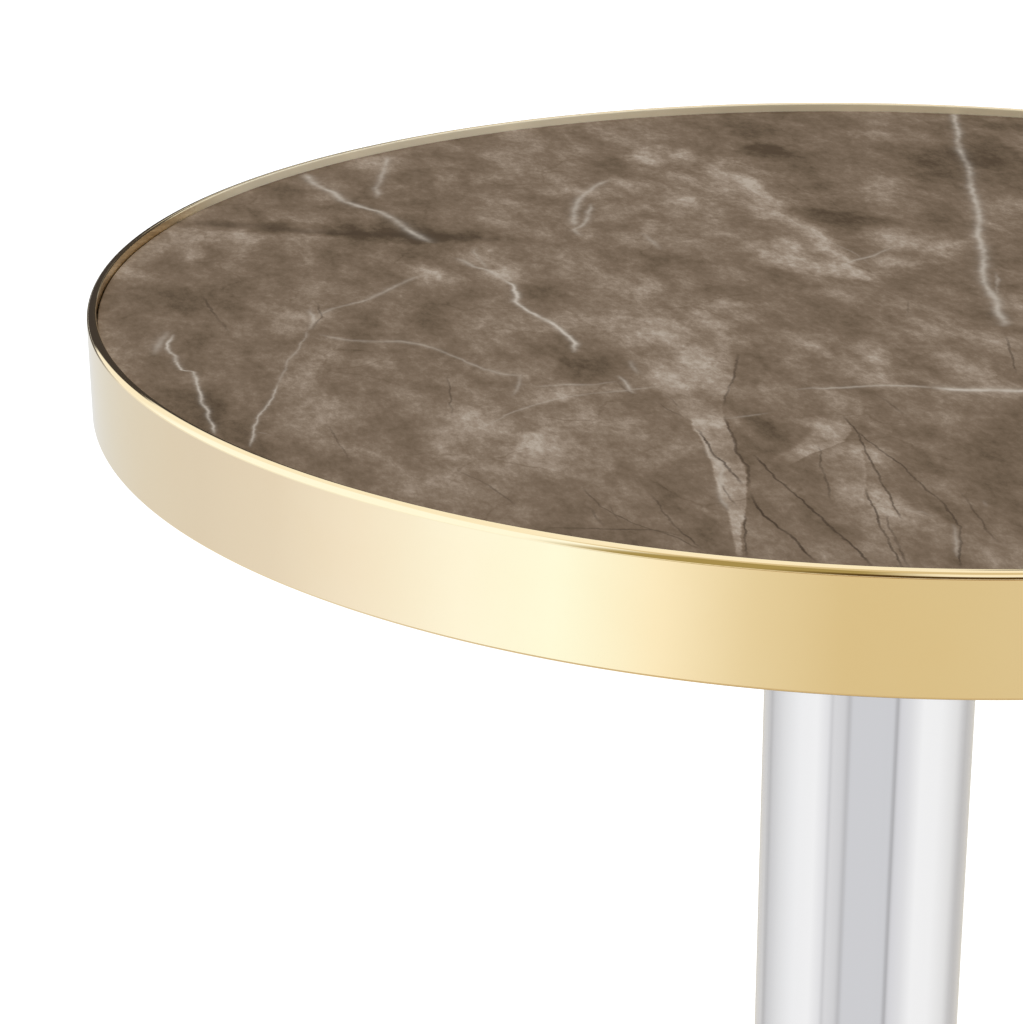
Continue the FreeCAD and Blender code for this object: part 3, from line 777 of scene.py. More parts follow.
@dataclass(frozen=True)
class BrownStone:
    """Satin brown marble: cloudy ground, pale veins and dark cracks laid out on the slab.

    A push is a noise that moves places about and how far it moves them. A share is the factor and the offset with
    which a noise goes into the ground's level.
    """

    tones: tuple[Tint, ...] = (
        (0.08, (0.083, 0.056, 0.035)), (0.22, (0.116, 0.082, 0.053)), (0.34, (0.150, 0.107, 0.071)),
        (0.50, (0.194, 0.141, 0.098)), (0.62, (0.243, 0.184, 0.133)), (0.74, (0.325, 0.256, 0.196)),
        (0.90, (0.460, 0.390, 0.320)),
    )
    vein: Colour = (0.560, 0.500, 0.430)
    crack: Colour = (0.048, 0.032, 0.021)
    roughness: float = 0.50
    ground_roughness: float = 0.12
    ground_middle: float = 0.5
    vein_roughness: float = 0.06
    gloss: float = 0.015
    grain: Noise = Noise(0.0016, 3.0, 0.7)
    grain_depth: float = 0.000012
    crack_depths: float = 1.5
    broken: Noise = Noise(0.014, 4.0, 0.65)
    broken_levels: tuple[float, ...] = (0.30, 0.62, 0.55, 1.0)
    wide_push: tuple[Noise, float] = (Noise(0.030, 4.0, 0.6), 0.018)
    near_push: tuple[Noise, float] = (Noise(0.009, 4.0, 0.6), 0.0026)
    drift_push: tuple[Noise, float] = (Noise(0.045, 2.0, 0.6), 0.014)
    drift_length: float = 2.1
    drift_turn: float = 12.0
    broad: Noise = Noise(0.060, 3.0, 0.70)
    broad_share: Pair = (0.90, -0.45)
    patchy: Noise = Noise(0.0125, 5.0, 0.62)
    patchy_share: Pair = (0.70, -0.35)
    fine: Noise = Noise(0.0025, 3.0, 0.8)
    fine_share: Pair = (0.42, 0.29)
    fine_length: float = 1.8
    wisps: Noise = Noise(0.012, 4.0, 0.56)
    wisp_edge: Pair = (0.26, 0.74)
    wisp_share: Pair = (0.19, 0.125)
    seam_size: float = 0.026
    seam_levels: tuple[float, ...] = (0.0, 0.03, 0.10, 0.0)
    seams_seen: Noise = Noise(0.045, 3.0, 0.6)
    seams_edge: Pair = (0.48, 0.66)

    def make(self) -> bpy.types.Material:
        """Makes the finish.

        Returns:
            The material.
        """
        material, shader = new_material("brown_stone")
        place = shader.place()
        wide = self.pushed(shader, place, *self.wide_push)
        near = self.pushed(shader, place, *self.near_push)
        ground = self.ground(shader, place, wide) + drawn_together(shader, "slivers", near, SLIVERS, Wire.larger)
        veins = drawn_together(shader, "pale_veins", near, PALE_VEINS, Wire.larger)
        cracks = drawn_together(shader, "dark_cracks", near, DARK_CRACKS, Wire.larger)
        broken = shader.noise(place, self.broken, flat=True).smooth(*self.broken_levels)
        colour = shader.ramp(ground, self.tones)
        colour = shader.mixed(cracks * broken, colour, self.crack)
        colour = shader.mixed(veins * broken, colour, self.vein)
        grain = shader.noise(place, self.grain)
        uneven = (ground - self.ground_middle) * self.ground_roughness
        shader.surface(
            Base_Color=colour,
            Roughness=self.roughness + uneven + veins * self.vein_roughness,
            Specular_IOR_Level=self.gloss,
            Normal=shader.bump(grain - cracks * self.crack_depths, self.grain_depth),
        )
        return material

    @staticmethod
    def pushed(shader: Shader, place: Wire, waves: Noise, reach: float) -> Wire:
        """A place pushed about by noise, so that drawn shapes get natural edges.

        Args:
            shader: the shader under construction.
            place: the place.
            waves: the noise.
            reach: how far it pushes.

        Returns:
            The pushed place.
        """
        push = shader.noise(place, waves, flat=True, output="Color")
        centred = shader.vector("SUBTRACT", push, (NOISE_MIDDLE,) * 3)
        return shader.vector("MULTIPLY_ADD", centred, (reach,) * 3, place)

    def ground(self, shader: Shader, place: Wire, wide: Wire) -> Wire:
        """The stone's cloudy ground, about 0.5 on average.

        Args:
            shader: the shader under construction.
            place: the place.
            wide: the place, pushed about widely.

        Returns:
            The ground's level.
        """
        drift = shader.drawn_out(self.pushed(shader, place, *self.drift_push), self.drift_length, self.drift_turn)
        broad = shader.noise(drift, self.broad, flat=True)
        patchy = shader.noise(drift, self.patchy, flat=True)
        fine = shader.noise(shader.drawn_out(place, self.fine_length, self.drift_turn), self.fine, flat=True)
        wisps = shader.noise(drift, self.wisps, flat=True).smooth(*self.wisp_edge)
        clouds = drawn_together(shader, "clouds", wide, CLOUDS, Wire.__add__) * wisps.scaled(*self.wisp_share)
        settings = {"feature": "DISTANCE_TO_EDGE", "voronoi_dimensions": "2D"}
        sockets = {"Vector": wide, "Scale": 1.0 / self.seam_size}
        seams = shader.node("ShaderNodeTexVoronoi", settings, sockets, "Distance")
        seen = shader.noise(place, self.seams_seen, flat=True).smooth(*self.seams_edge)
        level = broad.scaled(*self.broad_share) + patchy.scaled(*self.patchy_share) + fine.scaled(*self.fine_share)
        return level + clouds - seams.smooth(*self.seam_levels) * seen


@dataclass(frozen=True)
class ClearAcrylic:
    """Polished clear cast acrylic."""

    colour: Colour = (0.985, 0.99, 0.995)
    index: float = 1.49
    smear: float = 0.004
    smears: Noise = Noise(0.03, 4.0, 0.6)
    smear_stretch: Triple = (1.0, 1.0, 0.3)
    smear_edge: Pair = (0.5, 0.8)

    def make(self) -> bpy.types.Material:
        """Makes the finish.

        Returns:
            The material.
        """
        material, shader = new_material("clear_acrylic")
        smear = shader.noise(shader.stretched(shader.place(), self.smear_stretch), self.smears)
        shader.surface(
            Base_Color=shader.mixed(smear, WHITE, self.colour),
            Roughness=smear.smooth(*self.smear_edge) * self.smear,
            IOR=self.index,
            Transmission_Weight=1.0,
        )
        return material


@dataclass(frozen=True)
class GrainedFinish:
    """A finish of two mixed tones with a grain that is felt as well as seen.

    Attributes:
        name: its name.
        dark: the darker tone.
        light: the lighter tone.
        metallic: 1 for bare metal, 0 for the rest.
        roughness: the least and the most roughness.
        grain_mm: the size of the grain along X, Y and Z.
        depth_mm: the depth of the grain.
        patch_mm: the size of the wider patches of tone.
        grain_share: how much of the tone is grain; the rest is patches.
        tone_edge: the levels of the mix at which the tone is dark and light.
    """

    name: str
    dark: Colour
    light: Colour
    metallic: float
    roughness: Pair
    grain_mm: Triple
    depth_mm: float
    patch_mm: float = 30.0
    grain_share: float = 0.6
    tone_edge: Pair = (0.32, 0.68)

    def make(self) -> bpy.types.Material:
        """Makes the finish.

        Returns:
            The material.
        """
        material, shader = new_material(self.name)
        place = shader.place()
        largest = max(self.grain_mm)
        stretch = tuple(largest / size for size in self.grain_mm)
        grain = shader.noise(shader.stretched(place, stretch), Noise(largest * MM, layers=4.0, roughness=0.65))
        patch = shader.noise(place, Noise(self.patch_mm * MM, layers=5.0, roughness=0.6))
        tone = (grain * self.grain_share + patch * (1.0 - self.grain_share)).smooth(*self.tone_edge)
        low, high = self.roughness
        shader.surface(
            Base_Color=shader.mixed(tone, self.dark, self.light),
            Metallic=self.metallic,
            Roughness=low + (high - low) * tone,
            Normal=shader.bump(grain, self.depth_mm * MM),
        )
        return material


GRAINED = {
    Slot.BOARD: GrainedFinish("fibre_board", (0.30, 0.19, 0.10), (0.50, 0.35, 0.21), 0.0, (0.75, 0.92),
        (1.6, 0.5, 0.5), 0.05),
    Slot.LAMINATE: GrainedFinish("black_laminate", (0.012, 0.012, 0.012), (0.030, 0.029, 0.028), 0.0, (0.42, 0.60),
        (0.5, 0.5, 0.5), 0.02),
    Slot.BLACK_STEEL: GrainedFinish("black_powder_coat", (0.018, 0.018, 0.019), (0.045, 0.045, 0.046), 0.0,
        (0.48, 0.66), (0.7, 0.7, 0.7), 0.04),
    Slot.ZINC: GrainedFinish("zinc_plate", (0.50, 0.51, 0.53), (0.72, 0.73, 0.74), 1.0, (0.22, 0.38),
        (1.2, 1.2, 0.15), 0.004, 8.0),
    Slot.BRASS: GrainedFinish("turned_brass", (0.58, 0.40, 0.15), (0.78, 0.58, 0.26), 1.0, (0.20, 0.34),
        (1.5, 1.5, 0.2), 0.004, 8.0),
    Slot.BALLAST: GrainedFinish("mill_steel", (0.16, 0.16, 0.17), (0.34, 0.34, 0.35), 1.0, (0.42, 0.62),
        (6.0, 0.7, 0.7), 0.02, 45.0),
    Slot.FELT: GrainedFinish("needle_felt", (0.012, 0.012, 0.013), (0.055, 0.053, 0.052), 0.0, (0.88, 0.98),
        (2.2, 0.5, 0.5), 0.25, 12.0),
    Slot.NYLON: GrainedFinish("moulded_nylon", (0.016, 0.016, 0.017), (0.036, 0.036, 0.037), 0.0, (0.45, 0.58),
        (0.35, 0.35, 0.35), 0.012),
}


class Palette:
    """Every finish of the table, made once."""

    def __init__(self) -> None:
        """Makes the finishes."""
        finishes = {Slot.GOLD: GoldPlate(), Slot.STONE: BrownStone(), Slot.ACRYLIC: ClearAcrylic(), **GRAINED}
        self.materials = {slot: finish.make() for slot, finish in finishes.items()}

    def dress(self, thing: bpy.types.Object, slot: Slot) -> None:
        """Gives a piece the finish of the record's slot."""
        thing.data.materials.clear()
        thing.data.materials.append(self.materials[slot])

    def dress_nodes(self, slot: Slot, *names: str) -> None:
        """Gives carried-over CAD nodes their finish.

        Args:
            slot: the record's slot.
            names: the nodes.
        """
        for name in names:
            self.dress(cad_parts[name], slot)
            LOG.info("%s keeps its solid and gets %s", name, slot.value)

    def seat(self, thing: bpy.types.Object, node: str, slot: Slot, body: Body = Body.TABLE) -> None:
        """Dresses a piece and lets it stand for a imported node.

        Args:
            thing: the piece.
            node: the node that it stands for.
            slot: the record's slot of its finish.
            body: the body that it rides on.
        """
        self.dress(thing, slot)
        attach(thing, body.value)
        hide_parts(node)
        LOG.info("%s stands for %s in %s", thing.name, node, slot.value)


# Modelling


def set_mode(mode: str) -> None:
    """Enters edit mode or object mode with the active piece."""
    bpy.ops.object.mode_set(mode=mode)


def deselect_all() -> None:
    """Leaves edit mode and selects nothing."""
    if bpy.context.object is not None and bpy.context.object.mode != "OBJECT":
        set_mode("OBJECT")
    bpy.ops.object.select_all(action="DESELECT")


class Round(NamedTuple):
    """A rounded edge: how far it reaches and its number of steps."""

    reach: float
    steps: int


class Turned:
    """A round piece under construction, made from a cylinder by edit-mode steps."""

    def __init__(self, name: str, radius: float, bottom: float, top: float, sides: int,
                 centre: Point = (0.0, 0.0)) -> None:
        """Adds the cylinder that the piece starts from.

        Args:
            name: the piece's name.
            radius: its outer radius.
            bottom: its lower height.
            top: its upper height.
            sides: how many sides stand for the circle.
            centre: where its axis stands.
        """
        deselect_all()
        self.radius, self.bottom, self.top = radius, bottom, top
        self.centre = Vector((*centre, 0.0))
        middle = (*centre, (bottom + top) / 2)
        bpy.ops.mesh.primitive_cylinder_add(vertices=sides, radius=radius, depth=top - bottom, location=middle)
        self.thing = bpy.context.object
        self.thing.name = name
        self.thing.data.name = name
        bpy.ops.object.transform_apply(location=True, rotation=True, scale=True)

    def at(self, place: Vector, radius: float, height: float) -> bool:
        """Whether a point lies on a level circle of the piece."""
        flat = (place - self.centre).xy.length
        return abs(flat - radius) < PLACE_TOLERANCE and abs(place.z - height) < PLACE_TOLERANCE

    def edit(self, mode: tuple[bool, bool, bool]) -> None:
        """Makes the piece active with nothing on it selected.

        Args:
            mode: whether points, edges and faces are picked.
        """
        deselect_all()
        self.thing.select_set(True)
        bpy.context.view_layer.objects.active = self.thing
        bpy.context.tool_settings.mesh_select_mode = mode
        set_mode("EDIT")
        bpy.ops.mesh.select_all(action="DESELECT")
        set_mode("OBJECT")

    def pick_loops(self, *loops: Point) -> None:
        """Selects level circles of edges.

        Args:
            loops: the radius and height of each circle.
        """
        self.edit((False, True, False))
        mesh = self.thing.data
        for edge in mesh.edges:
            ends = [mesh.vertices[index].co for index in edge.vertices]
            edge.select = any(all(self.at(end, *loop) for end in ends) for loop in loops)
        set_mode("EDIT")

    def inset_caps(self, wall: float, *heights: float) -> None:
        """Draws a smaller circle inside the level ends of the piece, and leaves what it holds selected.

        Args:
            wall: how far inside it lies.
            heights: the heights of the ends.
        """
        self.edit((False, False, True))
        for face in self.thing.data.polygons:
            level = any(abs(face.center.z - height) < PLACE_TOLERANCE for height in heights)
            face.select = level and abs(face.normal.z) > LEVEL_NORMAL and len(face.vertices) > QUAD
        set_mode("EDIT")
        bpy.ops.mesh.inset(thickness=wall, use_even_offset=True)

    def soften(self, radius: float, height: float, edge: Round) -> "Turned":
        """Rounds one level circle of edges.

        Args:
            radius: the circle's radius.
            height: its height.
            edge: its round.

        Returns:
            The piece.
        """
        self.pick_loops((radius, height))
        bpy.ops.mesh.bevel(offset=edge.reach, offset_type="OFFSET", segments=edge.steps, profile=ROUND_PROFILE,
                           affect="EDGES")
        set_mode("OBJECT")
        return self

    def bored(self, wall: float) -> float:
        """Makes the piece a ring.

        Args:
            wall: its wall.

        Returns:
            Its inner radius.
        """
        self.inset_caps(wall, self.bottom, self.top)
        bpy.ops.mesh.delete(type="FACE")
        set_mode("OBJECT")
        radii = [(point.co - self.centre).xy.length for point in self.thing.data.vertices]
        inner = min(radii, key=lambda radius: abs(radius - (self.radius - wall)))
        self.pick_loops((inner, self.bottom), (inner, self.top))
        bpy.ops.mesh.bridge_edge_loops()
        set_mode("OBJECT")
        return inner

    def hollowed(self, wall: float) -> None:
        """Opens the piece from below.

        Args:
            wall: the wall left round and over the hollow.
        """
        self.inset_caps(wall, self.bottom)
        rise = (0.0, 0.0, self.top - wall - self.bottom)
        bpy.ops.mesh.extrude_region_move(TRANSFORM_OT_translate={"value": rise})
        set_mode("OBJECT")

    def drilled(self, radius: float, bottom: float, top: float, centres: Iterable[Point]) -> "Turned":
        """Cuts round holes along Z.

        Args:
            radius: the holes' radius.
            bottom: where they start.
            top: where they end.
            centres: where they stand.

        Returns:
            The piece.
        """
        for centre in centres:
            drill = Turned("drill", radius, bottom, top, DRILL_SIDES, centre).thing
            deselect_all()
            bpy.context.view_layer.objects.active = self.thing
            cut = self.thing.modifiers.new("hole", "BOOLEAN")
            cut.operation = "DIFFERENCE"
            cut.solver = "EXACT"
            cut.object = drill
            bpy.ops.object.modifier_apply(modifier=cut.name)
            bpy.data.objects.remove(drill)
        return self

    def done(self) -> bpy.types.Object:
        """Cleans and smooths the piece, and gives it up.

        Returns:
            The piece.
        """
        self.edit((True, False, False))
        set_mode("EDIT")
        bpy.ops.mesh.select_all(action="SELECT")
        bpy.ops.mesh.remove_doubles(threshold=MERGE_DISTANCE)
        bpy.ops.mesh.normals_make_consistent(inside=False)
        set_mode("OBJECT")
        bpy.ops.object.shade_smooth_by_angle(angle=SMOOTH_ANGLE)
        even = self.thing.modifiers.new("even", "WEIGHTED_NORMAL")
        even.mode = "FACE_AREA"
        even.weight = LARGE_FACES_FIRST
        even.keep_sharp = True
        bpy.ops.object.modifier_apply(modifier=even.name)
        return self.thing


def circle_points(radius: float, count: int, start: float = 0.0) -> list[Point]:
    """Points spaced evenly round the table's axis, the first at an angle in radians."""
    angles = [start + math.tau * index / count for index in range(count)]
    return [(radius * math.cos(angle), radius * math.sin(angle)) for angle in angles]


# Sub-assemblies


@dataclass
class TrayTop:
    """The stone slab, the gold rim round it and what holds them up."""

    rim_radius: float = 0.250
    rim_wall: float = 0.003
    rim_bottom: float = 0.4672
    rim_top: float = 0.500
    outer_round: Round = Round(0.00216, 10)
    inner_round: Round = Round(0.00075, 6)
    foot_round: Round = Round(0.0009, 6)
    stone_radius: float = 0.2468
    stone_bottom: float = 0.4895
    stone_top: float = 0.4969
    stone_round: Round = Round(0.0005, 3)
    sides: int = 384

    def build(self, palette: Palette) -> None:
        """Makes the pieces and dresses them.

        Args:
            palette: the finishes.
        """
        palette.seat(self.rim(), "top_rim", Slot.GOLD)
        palette.seat(self.slab(), "stone_top", Slot.STONE)
        palette.dress_nodes(Slot.BOARD, "core_panel")
        palette.dress_nodes(Slot.LAMINATE, "underside_sheet")
        palette.dress_nodes(Slot.BLACK_STEEL, "rim_ledge", "top_flange")
        palette.dress_nodes(Slot.ZINC, "ledge_screws", "flange_screws")

    def rim(self) -> bpy.types.Object:
        """Makes the hoop with its soft lip.

        Returns:
            The hoop.
        """
        hoop = Turned("rim_hoop", self.rim_radius, self.rim_bottom, self.rim_top, self.sides)
        inner = hoop.bored(self.rim_wall)
        hoop.soften(self.rim_radius, self.rim_top, self.outer_round)
        hoop.soften(inner, self.rim_top, self.inner_round)
        return hoop.soften(self.rim_radius, self.rim_bottom, self.foot_round).done()

    def slab(self) -> bpy.types.Object:
        """The stone with its broken upper edge."""
        slab = Turned("stone_slab", self.stone_radius, self.stone_bottom, self.stone_top, self.sides)
        return slab.soften(self.stone_radius, self.stone_top, self.stone_round).done()


@dataclass
class Column:
    """The clear rod with its collars, bushes and bolts."""

    radius: float = 0.035
    bottom: float = 0.0233
    top: float = 0.4655
    edge: Round = Round(0.0004, 2)
    bush_circle: float = 0.020
    bush_count: int = 4
    bush_hole: float = 0.00605
    bush_length: float = 0.020
    collar_radius: float = 0.0382
    collar_wall: float = 0.003
    collar_height: float = 0.030
    collar_round: Round = Round(0.0015, 8)
    collar_sides: int = 192
    overrun: float = 0.001
    sides: int = 256

    def build(self, palette: Palette) -> None:
        """Makes the pieces and dresses them.

        Args:
            palette: the finishes.
        """
        palette.seat(self.rod(), "column", Slot.ACRYLIC)
        upper = self.top - self.collar_height
        palette.seat(self.collar("collar_upper", upper, upper), "upper_collar", Slot.GOLD)
        lower_edge = self.bottom + self.collar_height
        palette.seat(self.collar("collar_lower", self.bottom, lower_edge), "lower_collar", Slot.GOLD)
        palette.dress_nodes(Slot.BRASS, "upper_column_inserts", "lower_column_inserts")
        palette.dress_nodes(Slot.ZINC, "upper_column_bolts", "lower_column_bolts")

    def rod(self) -> bpy.types.Object:
        """Makes the rod with its blind holes for the bushes.

        Returns:
            The rod.
        """
        rod = Turned("acrylic_rod", self.radius, self.bottom, self.top, self.sides)
        rod.soften(self.radius, self.top, self.edge)
        rod.soften(self.radius, self.bottom, self.edge)
        places = circle_points(self.bush_circle, self.bush_count)
        rod.drilled(self.bush_hole, self.top - self.bush_length, self.top + self.overrun, places)
        rod.drilled(self.bush_hole, self.bottom - self.overrun, self.bottom + self.bush_length, places)
        return rod.done()

    def collar(self, name: str, bottom: float, soft_edge: float) -> bpy.types.Object:
        """Makes one collar.

        Args:
            name: its name.
            bottom: its lower height.
            soft_edge: the height of its rounded edge.

        Returns:
            The collar.
        """
        band = Turned(name, self.collar_radius, bottom, bottom + self.collar_height, self.collar_sides)
        band.bored(self.collar_wall)
        return band.soften(self.collar_radius, soft_edge, self.collar_round).done()


@dataclass
class WeightedBase:
    """The gold cap with its ballast, felt and levelling feet."""

    radius: float = 0.160
    wall: float = 0.002
    bottom: float = 0.004
    top: float = 0.0233
    edge_round: Round = Round(0.0018, 8)
    bolt_circle: float = 0.020
    bolt_count: int = 4
    bolt_hole: float = 0.0044
    pad_circle: float = 0.132
    pad_radius: float = 0.014
    pad_height: float = 0.005
    pad_floor: float = 0.002
    pad_round: Round = Round(0.001, 5)
    pad_sides: int = 96
    stud_hole: float = 0.00405
    overrun: float = 0.001
    sides: int = 320

    def build(self, palette: Palette) -> None:
        """Makes the pieces and dresses them.

        Args:
            palette: the finishes.
        """
        palette.seat(self.cap(), "base_shell", Slot.GOLD)
        palette.dress_nodes(Slot.BALLAST, "base_ballast")
        palette.dress_nodes(Slot.FELT, "base_underlay")
        feet = [Body.FOOT_1, Body.FOOT_2, Body.FOOT_3, Body.FOOT_4]
        places = circle_points(self.pad_circle, len(feet), math.pi / len(feet))
        for number, (foot, place) in enumerate(zip(feet, places), start=1):
            palette.seat(self.pad(f"pad_{number}", place), f"foot_pad_{number}", Slot.NYLON, foot)
            palette.dress_nodes(Slot.ZINC, f"foot_stud_{number}")

    def cap(self) -> bpy.types.Object:
        """Makes the polished cap over the ballast, open below.

        Returns:
            The cap.
        """
        cap = Turned("base_cap", self.radius, self.bottom, self.top, self.sides)
        cap.soften(self.radius, self.top, self.edge_round)
        cap.hollowed(self.wall)
        bottom = self.top - self.wall - self.overrun
        places = circle_points(self.bolt_circle, self.bolt_count)
        return cap.drilled(self.bolt_hole, bottom, self.top + self.overrun, places).done()

    def pad(self, name: str, place: Point) -> bpy.types.Object:
        """Makes one foot pad with the socket for its stud.

        Args:
            name: its name.
            place: where it stands.

        Returns:
            The pad.
        """
        pad = Turned(name, self.pad_radius, 0.0, self.pad_height, self.pad_sides, place)
        pad.soften(self.pad_radius, self.pad_height, self.pad_round)
        return pad.drilled(self.stud_hole, self.pad_floor, self.pad_height + self.overrun, [place]).done()


# Studio


class Sees(Enum):
    """The rays that see a ring of painted light."""

    METAL = "visible_glossy"
    ACRYLIC = "visible_transmission"


@dataclass(frozen=True)
class PaintedLightRing:
    """A glowing ring of painted light just over the studio floor, which only shows in metal, as painted reflection,
    or through acrylic, as painted bands.

    Attributes:
        name: its name.
        sees: where it shows.
        height: how high it lies.
        reach: its inner and outer radius.
        turns: how often its tints repeat round the table.
        tints: its tints by azimuth, in degrees clockwise from +Y.
    """

    name: str
    sees: Sees
    height: float
    reach: Pair
    turns: int
    tints: tuple[Tint, ...]

    def build(self) -> None:
        """Makes the ring and lays it down."""
        deselect_all()
        inner, outer = self.reach
        bpy.ops.mesh.primitive_circle_add(vertices=PAINTED_RING_SIDES, radius=outer, fill_type="NGON",
                                          location=(0.0, 0.0, self.height))
        thing = bpy.context.object
        thing.name = self.name
        bpy.ops.object.transform_apply(location=True)
        bpy.context.tool_settings.mesh_select_mode = (False, False, True)
        set_mode("EDIT")
        bpy.ops.mesh.select_all(action="SELECT")
        bpy.ops.mesh.inset(thickness=outer - inner, use_even_offset=True)
        bpy.ops.mesh.delete(type="FACE")
        set_mode("OBJECT")
        thing.data.materials.append(self.painted_glow())
        # painted light: it lights nothing, casts no shadow and is hidden from the camera
        for flag in ("visible_camera", "visible_diffuse", "visible_shadow", "visible_volume_scatter"):
            setattr(thing, flag, False)
        for sees in Sees:
            setattr(thing, sees.value, sees is self.sees)

    def painted_glow(self) -> bpy.types.Material:
        """Makes the ring's glowing tints: painted reflection or painted bands.

        Returns:
            The material.
        """
        material, shader = new_material(self.name)
        place = shader.place()
        azimuth = shader.axis(place, "X").bearing(shader.axis(place, "Y"))
        share = azimuth.scaled(self.turns / math.tau, RAMP_MIDDLE).fraction()
        stops = [(degrees * self.turns / FULL_TURN + RAMP_MIDDLE, tint) for degrees, tint in self.tints]
        shader.end(shader.glow(shader.ramp(share, stops)))
        return material


@dataclass(frozen=True)
class PaintedReflectionPatch:
    """A patch of painted reflection: a tint of its own in the world that only metal mirrors, standing in for part of
    the studio's walls.

    Attributes:
        azimuth: its middle, in degrees clockwise from +Y.
        half_width: how far it reaches to each side, in degrees.
        rise: the sines of its lower and upper elevation.
        soft: the width of its soft sides, in degrees.
        tint: its colour.
    """

    azimuth: float
    half_width: float
    rise: Pair
    soft: float
    tint: Colour


# Painted reflection for the rim: glowing tints by azimuth that metal mirrors in place of the floor
RIM_PAINTED_REFLECTION = PaintedLightRing("rim_painted_reflection", Sees.METAL, 0.004, (0.30, 8.5), 1, (
    (-180.0, (0.76, 0.68, 0.50)), (-169.0, (0.76, 0.68, 0.50)), (-158.0, (0.86, 0.81, 0.68)),
    (-147.0, (1.05, 1.05, 1.02)), (-134.0, (1.08, 1.24, 1.38)), (-121.0, (1.08, 1.18, 1.35)),
    (-105.0, (0.97, 0.99, 1.11)), (-90.0, (0.84, 0.84, 0.93)), (-74.0, (0.78, 0.775, 0.84)),
    (-40.0, (0.77, 0.79, 0.82)), (0.0, (0.84, 0.84, 0.82)), (40.0, (1.05, 1.10, 1.18)),
    (75.0, (0.80, 0.79, 0.80)), (110.0, (1.05, 1.08, 1.12)), (150.0, (0.80, 0.74, 0.60)),
    (180.0, (0.76, 0.68, 0.50)),
))

# Painted reflection: dark and tinted glowing bands far out, seen only in metal
FAR_PAINTED_REFLECTION = PaintedLightRing("far_painted_reflection", Sees.METAL, 0.0045, (2.3, 8.5), 1, (
    (-180.0, (0.42, 0.27, 0.12)), (-166.0, (0.48, 0.33, 0.17)), (-150.0, (0.62, 0.54, 0.34)),
    (-130.0, (1.05, 1.15, 1.28)), (-50.0, (0.90, 0.90, 0.92)), (-36.0, (0.10, 0.09, 0.08)),
    (2.0, (0.10, 0.09, 0.08)), (12.0, (0.84, 0.84, 0.82)), (120.0, (1.00, 1.00, 0.98)),
    (150.0, (0.62, 0.50, 0.32)), (166.0, (0.42, 0.27, 0.12)), (180.0, (0.42, 0.27, 0.12)),
))

# Painted reflection near and under the table, seen only in metal
NEAR_PAINTED_REFLECTION = PaintedLightRing("near_painted_reflection", Sees.METAL, 0.0045, (0.17, 0.92), 1, (
    (-180.0, (0.68, 0.57, 0.40)), (-130.0, (0.68, 0.58, 0.43)), (-90.0, (0.84, 0.82, 0.80)),
    (0.0, (0.80, 0.74, 0.62)), (180.0, (0.68, 0.57, 0.40)),
))

# Painted bands: glowing greys seen only through the acrylic column, in place of the floor behind it
COLUMN_PAINTED_BANDS = PaintedLightRing("column_painted_bands", Sees.ACRYLIC, 0.003, (0.17, 8.5), 2, (
    (-90.0, (0.450, 0.450, 0.470)), (-62.0, (0.480, 0.480, 0.500)), (-52.0, (0.430, 0.430, 0.450)),
    (-46.0, (0.520, 0.520, 0.540)), (-38.0, (0.735, 0.735, 0.745)), (-24.0, (0.880, 0.880, 0.890)),
    (-14.0, (0.890, 0.890, 0.900)), (-8.5, (0.735, 0.735, 0.755)), (-5.0, (0.670, 0.670, 0.700)),
    (-3.8, (0.635, 0.635, 0.665)), (-2.6, (0.370, 0.370, 0.390)), (-1.2, (0.610, 0.615, 0.645)),
    (13.2, (0.610, 0.615, 0.645)), (14.6, (0.475, 0.475, 0.495)), (16.4, (0.630, 0.630, 0.650)),
    (20.0, (0.690, 0.690, 0.710)), (21.2, (0.590, 0.590, 0.610)), (22.6, (0.755, 0.755, 0.775)),
    (27.5, (0.890, 0.890, 0.900)), (36.0, (0.860, 0.860, 0.870)), (48.0, (0.720, 0.720, 0.730)),
    (60.0, (0.550, 0.550, 0.570)), (65.0, (0.395, 0.395, 0.415)), (72.0, (0.550, 0.550, 0.570)),
    (90.0, (0.550, 0.550, 0.570)),
))


